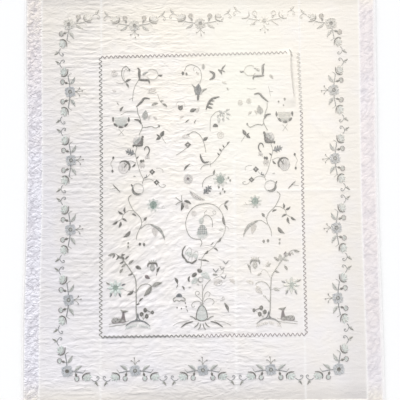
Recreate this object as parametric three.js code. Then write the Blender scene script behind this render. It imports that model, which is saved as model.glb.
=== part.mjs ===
// Embroidered bed quilt, opened out flat and face up.
// Millimetres, +Z up, +Y towards the head of the bed, origin at the middle of the underside.
import * as THREE from 'three';

// Overall size, and the widths of the cut pieces
const QUILT_WIDTH = 1980;
const QUILT_LENGTH = 2440;
const BINDING_WIDTH = 12;
const BAND_WIDTH = 82;
const CENTRE_WIDTH = 1120;
const SEAM_GAP = 0.3;

// Heights above the floor
const SEWN_HEIGHT = 3.2; // cloth and filling pressed together along a sewn line
const PUFF_RISE = 3.6; // rise of a channel above its sewn lines
const BAND_PUFF_RISE = 2.6; // rise of the puffs in the closely quilted bands
const BINDING_HEIGHT = 6.4;

// Quilting: straight channels across the field, close puffs in the bands
const CHANNELS = 88;
const SEAM_DIP = 14; // the filling thins out this far from a seam
const WANDER = 5; // most that a sewn line strays up or down
const WANDER_HELD = 60; // sewn lines run straight this near the head and the foot
const BAND_PUFF = 40; // length of a pair of puffs along a band
const PUFFS_ACROSS_BAND = 3;
const EDGE_PUFF_SHARE = 0.4; // rise left in a puff that a band's edge cuts through

// How closely the surfaces are drawn
const FIELD_COLUMN = 150;
const FLOOR_STEP = 3; // rows of a quilted top for each row of its flat underside
const SIDE_BINDING_STEPS = 40;
const END_BINDING_STEPS = 12;

// Cloth drawn in by the quilting: how far each side edge comes in, where along the length, over what reach
const DRAWN_SIDES = [
  { side: -1, pull: 21, at: 120, reach: 900 },
  { side: 1, pull: 10, at: 0, reach: 1000 },
];
const DRAW_FADES_AT = 250; // the pull fades to nothing this far from the middle

// Folds left in the cloth, each a soft ridge: the two ends of its crest, its rise and its half width
const FOLDS = [
  { name: 'long fold', from: [180, 1126], to: [185, -1126], rise: 2.6, spread: 16 },
  { name: 'cross fold', from: [-896, 28], to: [896, 14], rise: 1.4, spread: 14 },
  { name: 'corner tuck', from: [521, 808], to: [535, 466], rise: 4.0, spread: 18 },
  { name: 'drag line', from: [619, 466], to: [697, 296], rise: 2.0, spread: 30 },
];

// Unevenness of hand work, as waves: each wave's share and its length across and along, over a full turn
const WANDER_WAVES = [
  { share: 0.6, across: 880, along: 1950 },
  { share: 0.4, across: 380, along: -1070 },
];
const FULLNESS_WAVES = [
  { share: 0.12, across: 520, along: 1190 },
  { share: 0.08, across: 230, along: -380 },
];
const MEAN_FULLNESS = 0.8;

// Section of the folded binding, as shares of its width in from the outer edge and of its height
const BINDING_SECTION = [
  { in: 1, height: 0.72 },
  { in: 0.55, height: 1 },
  { in: 0.2, height: 0.86 },
  { in: 0, height: 0.45 },
];

// Edges that follow from those sizes
const HALF_WIDTH = QUILT_WIDTH / 2;
const HALF_LENGTH = QUILT_LENGTH / 2;
const BAND_X = HALF_WIDTH - BINDING_WIDTH;
const BAND_Y = HALF_LENGTH - BINDING_WIDTH;
const FIELD_X = BAND_X - BAND_WIDTH;
const FIELD_Y = BAND_Y - BAND_WIDTH;
const CENTRE_X = CENTRE_WIDTH / 2;
const HALF_GAP = SEAM_GAP / 2;

const FIELD_COTTON = new THREE.MeshStandardMaterial({ color: 0xf3efe6, roughness: 0.9, metalness: 0 });
const BAND_COTTON = new THREE.MeshStandardMaterial({ color: 0xe6e1e6, roughness: 0.92, metalness: 0 });
const BINDING_COTTON = new THREE.MeshStandardMaterial({ color: 0xf4f1ec, roughness: 0.88, metalness: 0 });

const smooth = (t) => THREE.MathUtils.smoothstep(t, 0, 1);
const clamp01 = (t) => THREE.MathUtils.clamp(t, 0, 1);
const evenly = (a, b, steps) => Array.from({ length: steps + 1 }, (_, k) => a + (b - a) * k / steps);

// Sum of a table of waves at a point
function waves(table, x, y) {
  const turn = 2 * Math.PI;
  return table.reduce((sum, w) => sum + w.share * Math.sin(turn * (x / w.across + y / w.along)), 0);
}

// How full the filling is at a point
const fullness = (x, y) => MEAN_FULLNESS + waves(FULLNESS_WAVES, x, y);

// How far a sewn line strays at a point
const wander = (x, y) => WANDER * smooth((FIELD_Y - Math.abs(y)) / WANDER_HELD) * waves(WANDER_WAVES, x, y);

// Sideways shift of the cloth at a point, from the drawn-in side edges
function drawnIn(x, y) {
  return DRAWN_SIDES.reduce((shift, { side, pull, at, reach }) => {
    const share = clamp01((side * x - DRAW_FADES_AT) / (HALF_WIDTH - DRAW_FADES_AT));
    const along = clamp01(Math.abs(y - at) / reach);
    return shift - side * pull * share * Math.cos(along * Math.PI / 2) ** 2;
  }, 0);
}

// Rise of all the folds at a point
function foldRise(x, y) {
  return FOLDS.reduce((rise, fold) => {
    const crest = new THREE.Line3(new THREE.Vector3(...fold.from, 0), new THREE.Vector3(...fold.to, 0));
    const here = new THREE.Vector3(x, y, 0);
    const nearest = crest.closestPointToPoint(here, true, new THREE.Vector3());
    return rise + fold.rise * smooth(1 - nearest.distanceTo(here) / fold.spread);
  }, 0);
}

// A closed piece of cloth: a grid of points on top, a flat underside, and walls between them.
// columns and rows hold what top(i, j, column, row) needs to give a point's [x, y, z].
function closedPiece(columns, rows, floorStep, top) {
  const points = [];
  const faces = [];
  const lastColumn = columns.length - 1;
  const lastRow = rows.length - 1;
  const addPoint = (p) => points.push(p) - 1;
  const grid = rows.map((row, j) => columns.map((column, i) => addPoint(top(i, j, column, row))));
  for (let j = 0; j < lastRow; j += 1) {
    for (let i = 0; i < lastColumn; i += 1) {
      const [a, b, c, d] = [grid[j][i], grid[j][i + 1], grid[j + 1][i + 1], grid[j + 1][i]];
      faces.push([a, b, c], [a, c, d]);
    }
  }
  const below = (index) => addPoint([points[index][0], points[index][1], 0]);
  const floorRows = rows.map((_, j) => j).filter((j) => j % floorStep === 0 && j < lastRow).concat(lastRow);
  const floor = floorRows.map((j) => ({
    row: j,
    left: below(grid[j][0]),
    right: below(grid[j][lastColumn]),
  }));
  for (let k = 0; k + 1 < floor.length; k += 1) {
    const [near, far] = [floor[k], floor[k + 1]];
    faces.push([near.left, far.right, near.right], [near.left, far.left, far.right]);
    for (let j = near.row; j < far.row; j += 1) {
      faces.push([near.left, grid[j][0], grid[j + 1][0]]);
      faces.push([near.right, grid[j + 1][lastColumn], grid[j][lastColumn]]);
    }
    faces.push([near.left, grid[far.row][0], far.left], [near.right, far.right, grid[far.row][lastColumn]]);
  }
  const [foot, head] = [floor[0], floor[floor.length - 1]];
  for (let i = 0; i < lastColumn; i += 1) {
    faces.push([foot.right, grid[0][i + 1], grid[0][i]]);
    faces.push([head.right, grid[lastRow][i], grid[lastRow][i + 1]]);
  }
  faces.push([foot.left, foot.right, grid[0][0]], [head.right, head.left, grid[lastRow][0]]);
  const geometry = new THREE.BufferGeometry();
  geometry.setAttribute('position', new THREE.Float32BufferAttribute(points.flat(), 3));
  geometry.setIndex(faces.flat());
  geometry.computeVertexNormals();
  return geometry;
}

// Columns of a field width: its seams, even steps between them, and three on each lengthwise fold.
// Each has its place at mid length and its lean, which only a fold from head to foot has.
function fieldColumns(left, right) {
  const folds = FOLDS.map(({ from, to, spread }) => ({
    x: (from[0] + to[0]) / 2,
    across: to[0] - from[0],
    along: to[1] - from[1],
    spread,
  })).filter(({ x, across, along }) => Math.abs(along) > Math.abs(across) && x > left && x < right);
  const onFolds = folds.flatMap(({ x, across, along, spread }) => [-spread, 0, spread].map((side) => ({
    x: x + side,
    lean: Math.abs(along) > FIELD_Y ? across / along : 0,
  })));
  const clear = (x) => folds.every((fold) => Math.abs(x - fold.x) > 3 * fold.spread);
  const steps = Math.round((right - left) / FIELD_COLUMN);
  const even = evenly(left + SEAM_DIP, right - SEAM_DIP, steps);
  const between = even.filter((x, k) => k % steps === 0 || clear(x));
  const inner = [...onFolds, ...between.map((x) => ({ x, lean: 0 }))].sort((a, b) => a.x - b.x);
  return [{ x: left, lean: 0 }, ...inner, { x: right, lean: 0 }];
}

// One width of the field: channels across it, thin at its seams, with the folds on top
function fieldPiece(from, to) {
  const columns = fieldColumns(from + HALF_GAP, to - HALF_GAP);
  const rows = evenly(-FIELD_Y + HALF_GAP, FIELD_Y - HALF_GAP, CHANNELS * 2);
  return closedPiece(columns, rows, FLOOR_STEP, (i, j, column, y) => {
    const x = column.x + column.lean * y;
    const atSeam = i === 0 || i === columns.length - 1;
    const puff = j % 2 === 1 && !atSeam ? PUFF_RISE * fullness(x, y) : 0;
    return [x + drawnIn(x, y), y + wander(x, y), SEWN_HEIGHT + puff + foldRise(x, y)];
  });
}

// A closely quilted band with puffs in alternate squares, between two edges across and two along
function bandPiece(across, along) {
  const lengthwise = along[1] - along[0] > across[1] - across[0];
  const long = lengthwise ? along : across;
  const steps = Math.round((long[1] - long[0]) / BAND_PUFF) * 2;
  const counts = lengthwise ? [PUFFS_ACROSS_BAND, steps] : [steps, PUFFS_ACROSS_BAND];
  const columns = evenly(across[0] + HALF_GAP, across[1] - HALF_GAP, counts[0]);
  const rows = evenly(along[0] + HALF_GAP, along[1] - HALF_GAP, counts[1]);
  return closedPiece(columns, rows, FLOOR_STEP, (i, j, x, y) => {
    const [acrossBand, alongBand] = lengthwise ? [i, j] : [j, i];
    const puffed = (i + j) % 2 === 0 && alongBand % steps !== 0;
    const share = acrossBand % PUFFS_ACROSS_BAND === 0 ? EDGE_PUFF_SHARE : 1;
    const puff = puffed ? BAND_PUFF_RISE * fullness(x, y) * share : 0;
    return [x + drawnIn(x, y), y, SEWN_HEIGHT + puff];
  });
}

// A binding point's distance in from the quilt's outer edge, clear of the band
const bindingInset = (point) => point.in * (BINDING_WIDTH - HALF_GAP);

// The binding of one side, mitred at its ends: side is -1 on the left and 1 on the right
function sideBinding(side) {
  const section = side > 0 ? BINDING_SECTION : BINDING_SECTION.toReversed();
  return closedPiece(section, evenly(-1, 1, SIDE_BINDING_STEPS), 1, (i, j, point, t) => {
    const y = t * (HALF_LENGTH - bindingInset(point) - SEAM_GAP);
    const x = side * (HALF_WIDTH - bindingInset(point));
    return [x + drawnIn(x, y), y, BINDING_HEIGHT * point.height];
  });
}

// The binding of one end, mitred at its ends: end is -1 at the foot and 1 at the head
function endBinding(end) {
  const section = end > 0 ? BINDING_SECTION : BINDING_SECTION.toReversed();
  return closedPiece(evenly(-1, 1, END_BINDING_STEPS), section, 1, (i, j, t, point) => {
    const x = t * (HALF_WIDTH - bindingInset(point) - SEAM_GAP);
    return [x, end * (HALF_LENGTH - bindingInset(point)), BINDING_HEIGHT * point.height];
  });
}

const quilt = new THREE.Group();

function addPiece(name, geometry, material) {
  const mesh = new THREE.Mesh(geometry, material);
  mesh.name = name;
  quilt.add(mesh);
}

addPiece('field_centre', fieldPiece(-CENTRE_X, CENTRE_X), FIELD_COTTON);
addPiece('field_left', fieldPiece(-FIELD_X, -CENTRE_X), FIELD_COTTON);
addPiece('field_right', fieldPiece(CENTRE_X, FIELD_X), FIELD_COTTON);
addPiece('band_left', bandPiece([-BAND_X, -FIELD_X], [-BAND_Y, BAND_Y]), BAND_COTTON);
addPiece('band_right', bandPiece([FIELD_X, BAND_X], [-BAND_Y, BAND_Y]), BAND_COTTON);
addPiece('band_head', bandPiece([-FIELD_X, FIELD_X], [FIELD_Y, BAND_Y]), BAND_COTTON);
addPiece('band_foot', bandPiece([-FIELD_X, FIELD_X], [-BAND_Y, -FIELD_Y]), BAND_COTTON);
addPiece('binding_left', sideBinding(-1), BINDING_COTTON);
addPiece('binding_right', sideBinding(1), BINDING_COTTON);
addPiece('binding_head', endBinding(1), BINDING_COTTON);
addPiece('binding_foot', endBinding(-1), BINDING_COTTON);

export default quilt;
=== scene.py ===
"""Embroidered bed quilt, opened out flat and face up.

The frame gives the sewn pieces: three widths of field, four bands and four bindings. Each gets its quilted
surface here, the needlework is laid on top in separate stitches, and the stage is lit.
Settings are in metres. Other lengths are in millimetres until a mesh is written, and flat places are complex
numbers, x + y * 1j.
"""

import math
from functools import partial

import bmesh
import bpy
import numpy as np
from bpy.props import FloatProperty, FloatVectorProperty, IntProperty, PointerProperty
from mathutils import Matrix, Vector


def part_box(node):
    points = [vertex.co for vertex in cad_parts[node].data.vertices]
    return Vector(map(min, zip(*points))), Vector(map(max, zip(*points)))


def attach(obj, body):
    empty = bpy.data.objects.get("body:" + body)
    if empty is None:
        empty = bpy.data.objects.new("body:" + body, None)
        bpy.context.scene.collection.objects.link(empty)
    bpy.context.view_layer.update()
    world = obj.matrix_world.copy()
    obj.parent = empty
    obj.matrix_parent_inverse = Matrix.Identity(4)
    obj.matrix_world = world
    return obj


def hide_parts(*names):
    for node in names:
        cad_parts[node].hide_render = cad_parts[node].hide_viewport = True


bl_info = {
    "name": "Embroidered quilt",
    "version": (1, 0, 0),
    "blender": (4, 5, 0),
    "location": "3D View > Sidebar > Quilt",
    "description": "Builds a hand-quilted and embroidered bed quilt on its sewn pieces",
    "category": "Add Mesh",
}

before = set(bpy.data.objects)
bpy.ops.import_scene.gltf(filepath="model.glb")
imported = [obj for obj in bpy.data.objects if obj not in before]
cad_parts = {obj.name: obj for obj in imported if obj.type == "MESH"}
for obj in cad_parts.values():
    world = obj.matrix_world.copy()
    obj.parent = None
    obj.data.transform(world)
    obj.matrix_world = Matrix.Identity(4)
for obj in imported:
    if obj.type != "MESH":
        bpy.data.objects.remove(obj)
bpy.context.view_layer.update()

MM = 0.001
BODY = "root"
X, Y = 0, 1

# Least length that a step is taken to have
TINY = 1e-6


def far_edge(node, axis):
    """A sewn piece's highest place along an axis, in millimetres."""
    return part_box(node)[1][axis] / MM


# Edges of the sewn pieces, from the middle of the quilt
HALF_WIDTH = far_edge("binding_right", X)
HALF_LENGTH = far_edge("binding_head", Y)
BAND_X = far_edge("band_right", X)
BAND_Y = far_edge("band_head", Y)
FIELD_X = far_edge("field_right", X)
FIELD_Y = far_edge("field_centre", Y)
CENTRE_X = far_edge("field_centre", X)
SEAM_GAP = 0.3

# Cloth drawn in by the quilting: side, how far its edge comes in, where along the length, over what reach
DRAWN_SIDES = ((-1, 12, 120, 900), (1, 10, 0, 1000))
DRAW_FADES_AT = 250

# How far in from the edges the cloth curls up, and the mean share of the curl that is reached
EDGE_REACH = 70
CURL_SHARE = 0.8

# Folds left in the cloth, each a soft ridge: the ends of its crest, its rise, its reach on the near
# and the far side, and how much paler its crest is, partly from wear and partly as a painted highlight
FOLDS = (
    (183 + 200j, 185 - 1126j, 2.6, 16, 16, 0.7),
    (-896 + 28j, 896 + 14j, 1.4, 14, 14, 0.4),
    (508 + 830j, 528 + 480j, 8.0, 90, 8, 0.0),
    (619 + 466j, 697 + 296j, 2.0, 30, 30, 0.0),
    (-550 - 622j, -170 - 612j, 3.4, 10, 26, 0.0),
    (-500 - 584j, -260 - 578j, 2.6, 10, 22, 0.0),
)
FOLD_FADES_OVER = 60

# Straying of the sewn lines, as waves: share, length across and length along
WANDER_WAVES = ((0.55, 880, 1950), (0.35, 380, -1070), (0.22, 170, 610))
WANDER_FADES_OVER = 60

# Slant of the puckers in slack cloth, and of the strokes in the right band
SLANT = math.radians(38)
BAND_SLANT = math.radians(56)

# Side of the table of chance that uneven cloth is drawn from
GRAIN = 256

# Lumps in the cloth and in its wear: depth, seed, size across and along their grain, and the grain's turn
FULLNESS_LUMPS = (0.42, 1, 120, 36)
LEVEL_LUMPS = (1.0, 3, 50, 19)
SLANT_LUMPS = (3.0, 5, 36, 17, SLANT)
BINDING_LUMPS = (0.1, 10, 14, 14)
CURL_LUMPS = (0.2, 11, 260, 210)
BAND_LUMPS = (0.5, 12, 40, 30)
WEAR_LUMPS = (0.3, 23, 16, 16)

# Creases in the cloth, with the same columns and then their width
LEVEL_CREASES = (1.1, 2, 70, 24, 0.08, 0.5)
SLANT_CREASES = (3.8, 4, 52, 24, SLANT, 0.34)
LEFT_BAND_CREASES = ((1.0, 6, 26, 19, 0.6, 0.3), (0.6, 7, 15, 12, -0.7, 0.3))
RIGHT_BAND_CREASES = ((0.58, 8, 34, 15, BAND_SLANT, 0.3), (0.232, 9, 20, 14, 0.5, 0.3))

# How creases wind: lumps that push them about, with a seed counted from theirs, and how far across and along
CREASE_STRAYS = (90, 70)
STRAY_SEED = 50
STRAY_ACROSS, STRAY_ALONG = 18, 14

# Filling of the channels: everywhere, and more in a strip beside the frame on the left, its middle and reach
FULLNESS = 0.24
FULLER_BESIDE = 0.5
BESIDE_AT, BESIDE_REACH = -630, 75

# Relief of the field: how pointed its puffs are, how much of them slack cloth loses, how far the field stands
# above a sewn line, and its least height
PUFF_POWER = 1.3
SLACK_LOSES = 0.7
FIELD_STANDS = 1.2
LEAST_HEIGHT = 1.5

# Relief of the bands: their deepest creases, and how near their edges it fades
DEEPEST = 1.3
BAND_FADES_OVER = 5

# How far from a seam its paler crest reaches, partly wear and partly painted highlight,
# and how far from a band's edge its painted shade in the creases starts
SEAM_WEAR_AND_HIGHLIGHT = 5
SHADE_STARTS = 6

# Soft patches: the middle, its reach across and along, and how strong it is
SLACK = (-360 - 380j, 280, 430, 1.0)
AGED = (-430 - 120j, 140, 330, 0.42)
# A painted pool of warm light, to the right of the middle towards the head
PAINTED_LIGHT_POOL = (220 + 600j, 210, 480, 0.8)
FADED = (
    (330 + 820j, 420, 420, 0.36),
    (310 - 380j, 190, 260, 0.42),
    (490 - 510j, 80, 90, 0.2),
    (-770 - 150j, 110, 520, 0.12),
    (735 + 0j, 110, 420, 0.08),
    (368 - 722j, 90, 26, 0.9),
    (-720 - 950j, 120, 110, 0.12),
    (210 - 812j, 150, 25, 0.2),
    (-370 - 360j, 180, 260, 0.15),
    (-300 + 1030j, 500, 150, 0.10),
    (140 - 100j, 90, 450, 0.16),
    (0 + 1080j, 1200, 90, 0.22),
    (340 + 1060j, 150, 120, 0.3),
    (-700 + 1000j, 160, 160, 0.16),
    (395 + 965j, 330, 90, 0.38),
    (-430 + 990j, 430, 80, 0.36),
)

# Fading of all the threads: how it grows in a metre to the right and towards the head, and what is taken off
FADES_RIGHT, FADES_HEAD = 0.17, 0.15
UNFADED = 0.32

# Areas with soft bounds: how strong, then the ramps at the bounds: the way each rises, its start and reach
FLAT_LEFT = (0.2, (-1, 690, 90))
FLAT_RIGHT = (0.7, (1 + 0.25j, -60, 420))
# A painted light cast: the cloth's left edge is cooler
COOL_LEFT = (1.0, (-1, 780, 100))
AGED_ENDS = ((0.8, (1j, 1010, 130)), (0.8, (-1j, 1010, 130)), (0.4, (1j, 760, 260), (-1, -100, 300)))
# Painted shade for the light's falloff: where it is lifted, and where the edges are greyed
UNSHADED_RIGHT = (1.0, (1, -950, 900))
UNSHADED_CORNERS = ((0.17, (1j, 200, 350), (-1, 420, 200)), (0.17, (-1j, 640, 130), (-1, 420, 200)))
GREY_ENDS = ((0.26, (1j, 1030, 90)), (0.26, (-1j, 1030, 90)))
GREY_RIGHT = (1.0, (1, 690, 150))
UNSHADED_FOOT = (0.6, (-1j, 900, 100), (-1, 350, 200))
GREY_ROWS = ((0.09, (1j, 860, 120), (-1, 150, 200), (1, -750, 150)),
             (0.1, (-1j, 840, 120), (1, -380, 200), (-1, -860, 260)))
GREY_RIGHT_BAND = (0.2, (-1j, -150, 900))

# Warmth of the painted light cast on the cloth: in its middle, how far right and towards the head it would
# grow by 1, and what the left edge loses and regains
PAINTED_WARMTH = 0.7
WARMS_RIGHT, WARMS_HEAD = 3000, 2500
EDGE_COOLS, EDGE_WARMS_HEAD = 0.4, 1400

# Painted shade for the light's falloff: its most, how free of it the left and the middle are, how far towards
# the head the middle would gain 1, how grey the right edge is, and how far towards the foot that would gain 1
PAINTED_FALLOFF_MOST = 0.52
LEFT_UNSHADED, MIDDLE_UNSHADED, UNSHADES_HEAD = 0.1, 0.82, 2600
RIGHT_GREY, GREYS_FOOT = 0.16, 16000

# Threads, in the order of their material slots, and the pale ones, which wear away first
THREAD_NAMES = ("charcoal", "slate", "sage", "stone", "teal", "mint", "blue", "mauve", "lilac", "white")
CHARCOAL, SLATE, SAGE, STONE, TEAL, MINT, BLUE, MAUVE, LILAC, WHITE = range(len(THREAD_NAMES))
PALE_THREADS = (STONE, MINT, BLUE, LILAC)


def length_property(name, description, default):
    """A length in metres that a user can change."""
    return FloatProperty(name=name, description=description, default=default, unit="LENGTH")


def colour_property(name, description, default):
    """A colour that a user can change."""
    return FloatVectorProperty(name=name, description=description, default=default, subtype="COLOR", size=3)


class QuiltSizes(bpy.types.PropertyGroup):
    """Sizes of the quilting and the needlework."""

    channels: IntProperty(
        name="Channels", description="Rows of quilting from foot to head", default=88, min=8)
    sewn_height: length_property("Sewn height", "Height of the cloth along a sewn line", 0.0032)
    puff_rise: length_property("Puff rise", "Rise of a channel above its sewn lines", 0.0026)
    band_puff_rise: length_property(
        "Band puff rise", "Rise of the puffs in the closely quilted bands", 0.0030)
    binding_height: length_property("Binding height", "Height of the folded binding", 0.0078)
    edge_curl: length_property("Edge curl", "How far the edges curl up off the floor", 0.010)
    seam_dip: length_property("Seam dip", "Distance from a seam over which the filling thins out", 0.014)
    wander: length_property("Wander", "Most that a sewn line strays", 0.005)
    cloth_step: length_property("Cloth step", "Spacing of the points along the cloth", 0.0045)
    vine_width: length_property("Vine width", "Width between the border's rows of flowers", 1.486)
    vine_length: length_property("Vine length", "Length between the border's rows of flowers", 1.932)
    tooth: length_property("Tooth", "Length of a tooth of the zigzag frame", 0.0246)


class QuiltColours(bpy.types.PropertyGroup):
    """Colours of the cloth and the threads."""

    # The cool and warm colours are the ends of a painted light cast across the cloth
    field_cool: colour_property(
        "Cool field", "Cotton of the field towards the foot's left", (0.900, 0.880, 0.912))
    field_warm: colour_property(
        "Warm field", "Cotton of the field towards the head's right", (0.921, 0.869, 0.792))
    band_cool: colour_property(
        "Cool band", "Lavender-grey cotton of the bands on the left", (0.872, 0.862, 0.930))
    band_warm: colour_property(
        "Warm band", "Lavender-grey cotton of the bands on the right", (0.872, 0.806, 0.800))
    binding: colour_property("Binding", "Off-white cotton of the binding", (0.88, 0.865, 0.865))
    charcoal: colour_property("Charcoal", "Darkest thread", (0.182, 0.176, 0.164))
    slate: colour_property("Slate", "Dark blue-grey thread", (0.207, 0.214, 0.222))
    sage: colour_property("Sage", "Grey-green thread of the stems", (0.275, 0.273, 0.250))
    stone: colour_property("Stone", "Middle grey thread of the border leaves", (0.446, 0.458, 0.444))
    teal: colour_property("Teal", "Grey-green thread of the hearts", (0.290, 0.360, 0.322))
    mint: colour_property("Mint", "Pale green thread of the fillings", (0.575, 0.622, 0.600))
    blue: colour_property("Blue", "Pale blue-grey thread of the border flowers", (0.464, 0.478, 0.500))
    mauve: colour_property("Mauve", "Grey-mauve thread of the zigzag frame", (0.222, 0.188, 0.196))
    lilac: colour_property("Lilac", "Faint warm grey thread", (0.650, 0.625, 0.612))
    white: colour_property("White", "Quilting thread", (0.860, 0.840, 0.830))


class StageSettings(bpy.types.PropertyGroup):
    """Camera and lights."""

    lens: FloatProperty(
        name="Lens", description="Focal length of the camera", default=50.0, unit="CAMERA")
    distance: length_property("Distance", "Distance from the camera to the quilt", 3.0916)
    tilt: FloatProperty(
        name="Tilt", description="Lean of the view towards the head of the quilt",
        default=math.radians(2.96), subtype="ANGLE")
    roll: FloatProperty(
        name="Roll", description="Turn of the camera about its own view",
        default=math.radians(-0.43), subtype="ANGLE")
    target: FloatVectorProperty(
        name="Target", description="Point in the middle of the picture", subtype="XYZ",
        size=3, default=(-0.0092, -0.0341, 0.0))
    key_power: FloatProperty(
        name="Key power", description="Strength of the soft light over the head", default=2.65)
    room: FloatProperty(
        name="Room", description="Strength of the even light from all round", default=0.69)


def smooth(t):
    """0 below 0, 1 above 1 and a soft step between them."""
    t = np.clip(t, 0, 1)
    return t * t * (3 - 2 * t)


def lumps(x, y, depth, seed, across, along, turn=0.0):
    """Smooth lumps up to a depth either way, with a grain: their size across and along it, and its turn."""
    c, s = math.cos(turn), math.sin(turn)
    u, v = (x * c + y * s) / across, (y * c - x * s) / along
    grid = np.random.default_rng(seed).uniform(-1, 1, (GRAIN, GRAIN))
    i, j = np.floor(u).astype(int), np.floor(v).astype(int)
    p, q = smooth(u - i), smooth(v - j)
    near, far = ((1 - q) * grid[k % GRAIN, j % GRAIN] + q * grid[k % GRAIN, (j + 1) % GRAIN]
                 for k in (i, i + 1))
    return depth * ((1 - p) * near + p * far)


def creases(x, y, depth, seed, across, along, turn, width):
    """Thin winding creases of a depth, with 0 between them."""
    stray = lumps(x, y, 1, seed + STRAY_SEED, *CREASE_STRAYS)
    lines = lumps(x + STRAY_ACROSS * stray, y + STRAY_ALONG * stray, 1, seed, across, along, turn)
    return depth * np.exp(-(lines / width) ** 2)


def patch(x, y, at, across, along, share):
    """A soft patch: strongest in its middle, with a reach across and along."""
    return share * np.exp(-((x - at.real) / across) ** 2 - ((y - at.imag) / along) ** 2)


def area(x, y, share, *ramps):
    """An area bounded by soft ramps: the way each rises, its start that way and its reach."""
    for way, start, reach in ramps:
        share = share * smooth((x * way.real + y * way.imag - start) / reach)
    return share


class Cloth:
    """How the quilt lies and looks: its drawn-in edges, the height of its face, its wear, and the painted
    light and shade of its material.
    """

    def __init__(self, sizes):
        self.pitch = 2 * FIELD_Y / sizes.channels
        self.sewn = sizes.sewn_height / MM
        self.puff = sizes.puff_rise / MM
        self.band_puff = sizes.band_puff_rise / MM
        self.dip = sizes.seam_dip / MM
        self.curl = sizes.edge_curl / MM
        self.stray = sizes.wander / MM

    def drawn_in(self, x, y):
        """Sideways shift of the cloth at a place."""
        shift = np.zeros_like(x)
        for side, pull, at, reach in DRAWN_SIDES:
            share = np.clip((side * x - DRAW_FADES_AT) / (HALF_WIDTH - DRAW_FADES_AT), 0, 1)
            along = np.clip(np.abs(y - at) / reach, 0, 1)
            shift -= side * pull * share * np.cos(along * math.pi / 2) ** 2
        return shift

    def wander(self, x, y):
        """How far a sewn line strays up or down at a place."""
        held = smooth((FIELD_Y - np.abs(y)) / WANDER_FADES_OVER)
        waves = sum(share * np.sin(2 * math.pi * (x / across + y / along))
                    for share, across, along in WANDER_WAVES)
        return self.stray * held * waves

    def channel(self, x, y):
        """Number of channels from the foot to a place. A sewn line has a whole number."""
        return (y - self.wander(x, y) + FIELD_Y) / self.pitch

    def slack(self, x, y):
        """Share of slanting puckers in the cloth at a place."""
        return patch(x, y, *SLACK)

    def folds(self, x, y):
        """Rise of all the folds at a place, and how much paler their crests are there, partly from wear and
        partly as a painted highlight.
        """
        here = x + 1j * y
        rise, worn = np.zeros_like(x), np.zeros_like(x)
        for start, end, height, near, far, wear_and_highlight in FOLDS:
            crest = end - start
            place = (here - start) * np.conj(crest)
            along = np.clip(place.real / abs(crest) ** 2, 0, 1)
            fade = smooth(np.minimum(along, 1 - along) * abs(crest) / FOLD_FADES_OVER)
            spread = np.where(place.imag > 0, far, near)
            share = fade * smooth(1 - np.abs(here - start - along * crest) / spread)
            rise += height * share
            worn += wear_and_highlight * share
        return rise, worn

    def lift(self, x, y):
        """How far the cloth curls up off the floor along its edges."""
        inset = np.minimum(HALF_WIDTH - np.abs(x), HALF_LENGTH - np.abs(y))
        uneven = CURL_SHARE + lumps(x, y, *CURL_LUMPS)
        return self.curl * smooth((EDGE_REACH - inset) / EDGE_REACH) * uneven

    def seam(self, x):
        """Distance to the nearest lengthwise seam."""
        return np.min([np.abs(np.abs(x) - edge) for edge in (CENTRE_X, FIELD_X)], axis=0)

    def calm(self, x, y):
        """Share of the relief left in the cloth, which lies flatter at its far left and towards its right."""
        left = np.where(x > -FIELD_X, area(x, y, *FLAT_LEFT), 0)
        return 1 - left - area(x, y, *FLAT_RIGHT)

    def fullness(self, x, y):
        """How full the channels are: most beside the frame on the left, and uneven everywhere."""
        beside = FULLER_BESIDE * np.exp(-((x - BESIDE_AT) / BESIDE_REACH) ** 2)
        return np.clip(FULLNESS + beside + lumps(x, y, *FULLNESS_LUMPS), 0, 1)

    def field(self, x, y):
        """Height of the field."""
        arch = np.abs(np.sin(math.pi * self.channel(x, y))) ** PUFF_POWER
        puff = self.puff * arch * self.fullness(x, y)
        thin = smooth(self.seam(x) / self.dip) * smooth((FIELD_Y - np.abs(y)) / self.dip)
        level = creases(x, y, *LEVEL_CREASES) + lumps(x, y, *LEVEL_LUMPS)
        slanting = creases(x, y, *SLANT_CREASES) + lumps(x, y, *SLANT_LUMPS)
        rise = puff - level + self.slack(x, y) * (level - SLACK_LOSES * puff - slanting)
        height = self.sewn + FIELD_STANDS + thin * self.calm(x, y) * rise + self.folds(x, y)[0]
        return np.maximum(height, LEAST_HEIGHT)

    def band(self, x, y):
        """Height of a closely quilted band."""
        left = sum(creases(x, y, *each) for each in LEFT_BAND_CREASES)
        right = sum(creases(x, y, *each) for each in RIGHT_BAND_CREASES)
        right += np.maximum(lumps(x, y, *BAND_LUMPS), 0)
        low = np.clip(np.where(x > 0, right, left), 0, DEEPEST)
        edge = smooth(self.band_edge(x, y) / BAND_FADES_OVER)
        return self.sewn + self.band_puff * (1 - low / DEEPEST) * edge

    def band_edge(self, x, y):
        """Distance from a place in a band to the nearer of its two edges."""
        out = np.minimum(BAND_X - np.abs(x), BAND_Y - np.abs(y))
        inside = np.maximum(np.abs(x) - FIELD_X, np.abs(y) - FIELD_Y)
        return np.maximum(np.minimum(out, inside), 0)

    def painted_trough_shade(self, x, y):
        """Painted shade in the troughs: 1 on a full channel's sewn line, falling to 0 along its middle."""
        line = 1 - np.abs(np.sin(math.pi * self.channel(x, y)))
        return line ** 2 * self.fullness(x, y) * self.calm(x, y) * (1 - self.slack(x, y))

    def crest(self, x, y):
        """How much paler the cloth is, most along seams and less along folds: partly wear, partly a painted
        highlight on their ridges.
        """
        return np.maximum(self.folds(x, y)[1], np.exp(-(self.seam(x) / SEAM_WEAR_AND_HIGHLIGHT) ** 2))

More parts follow.
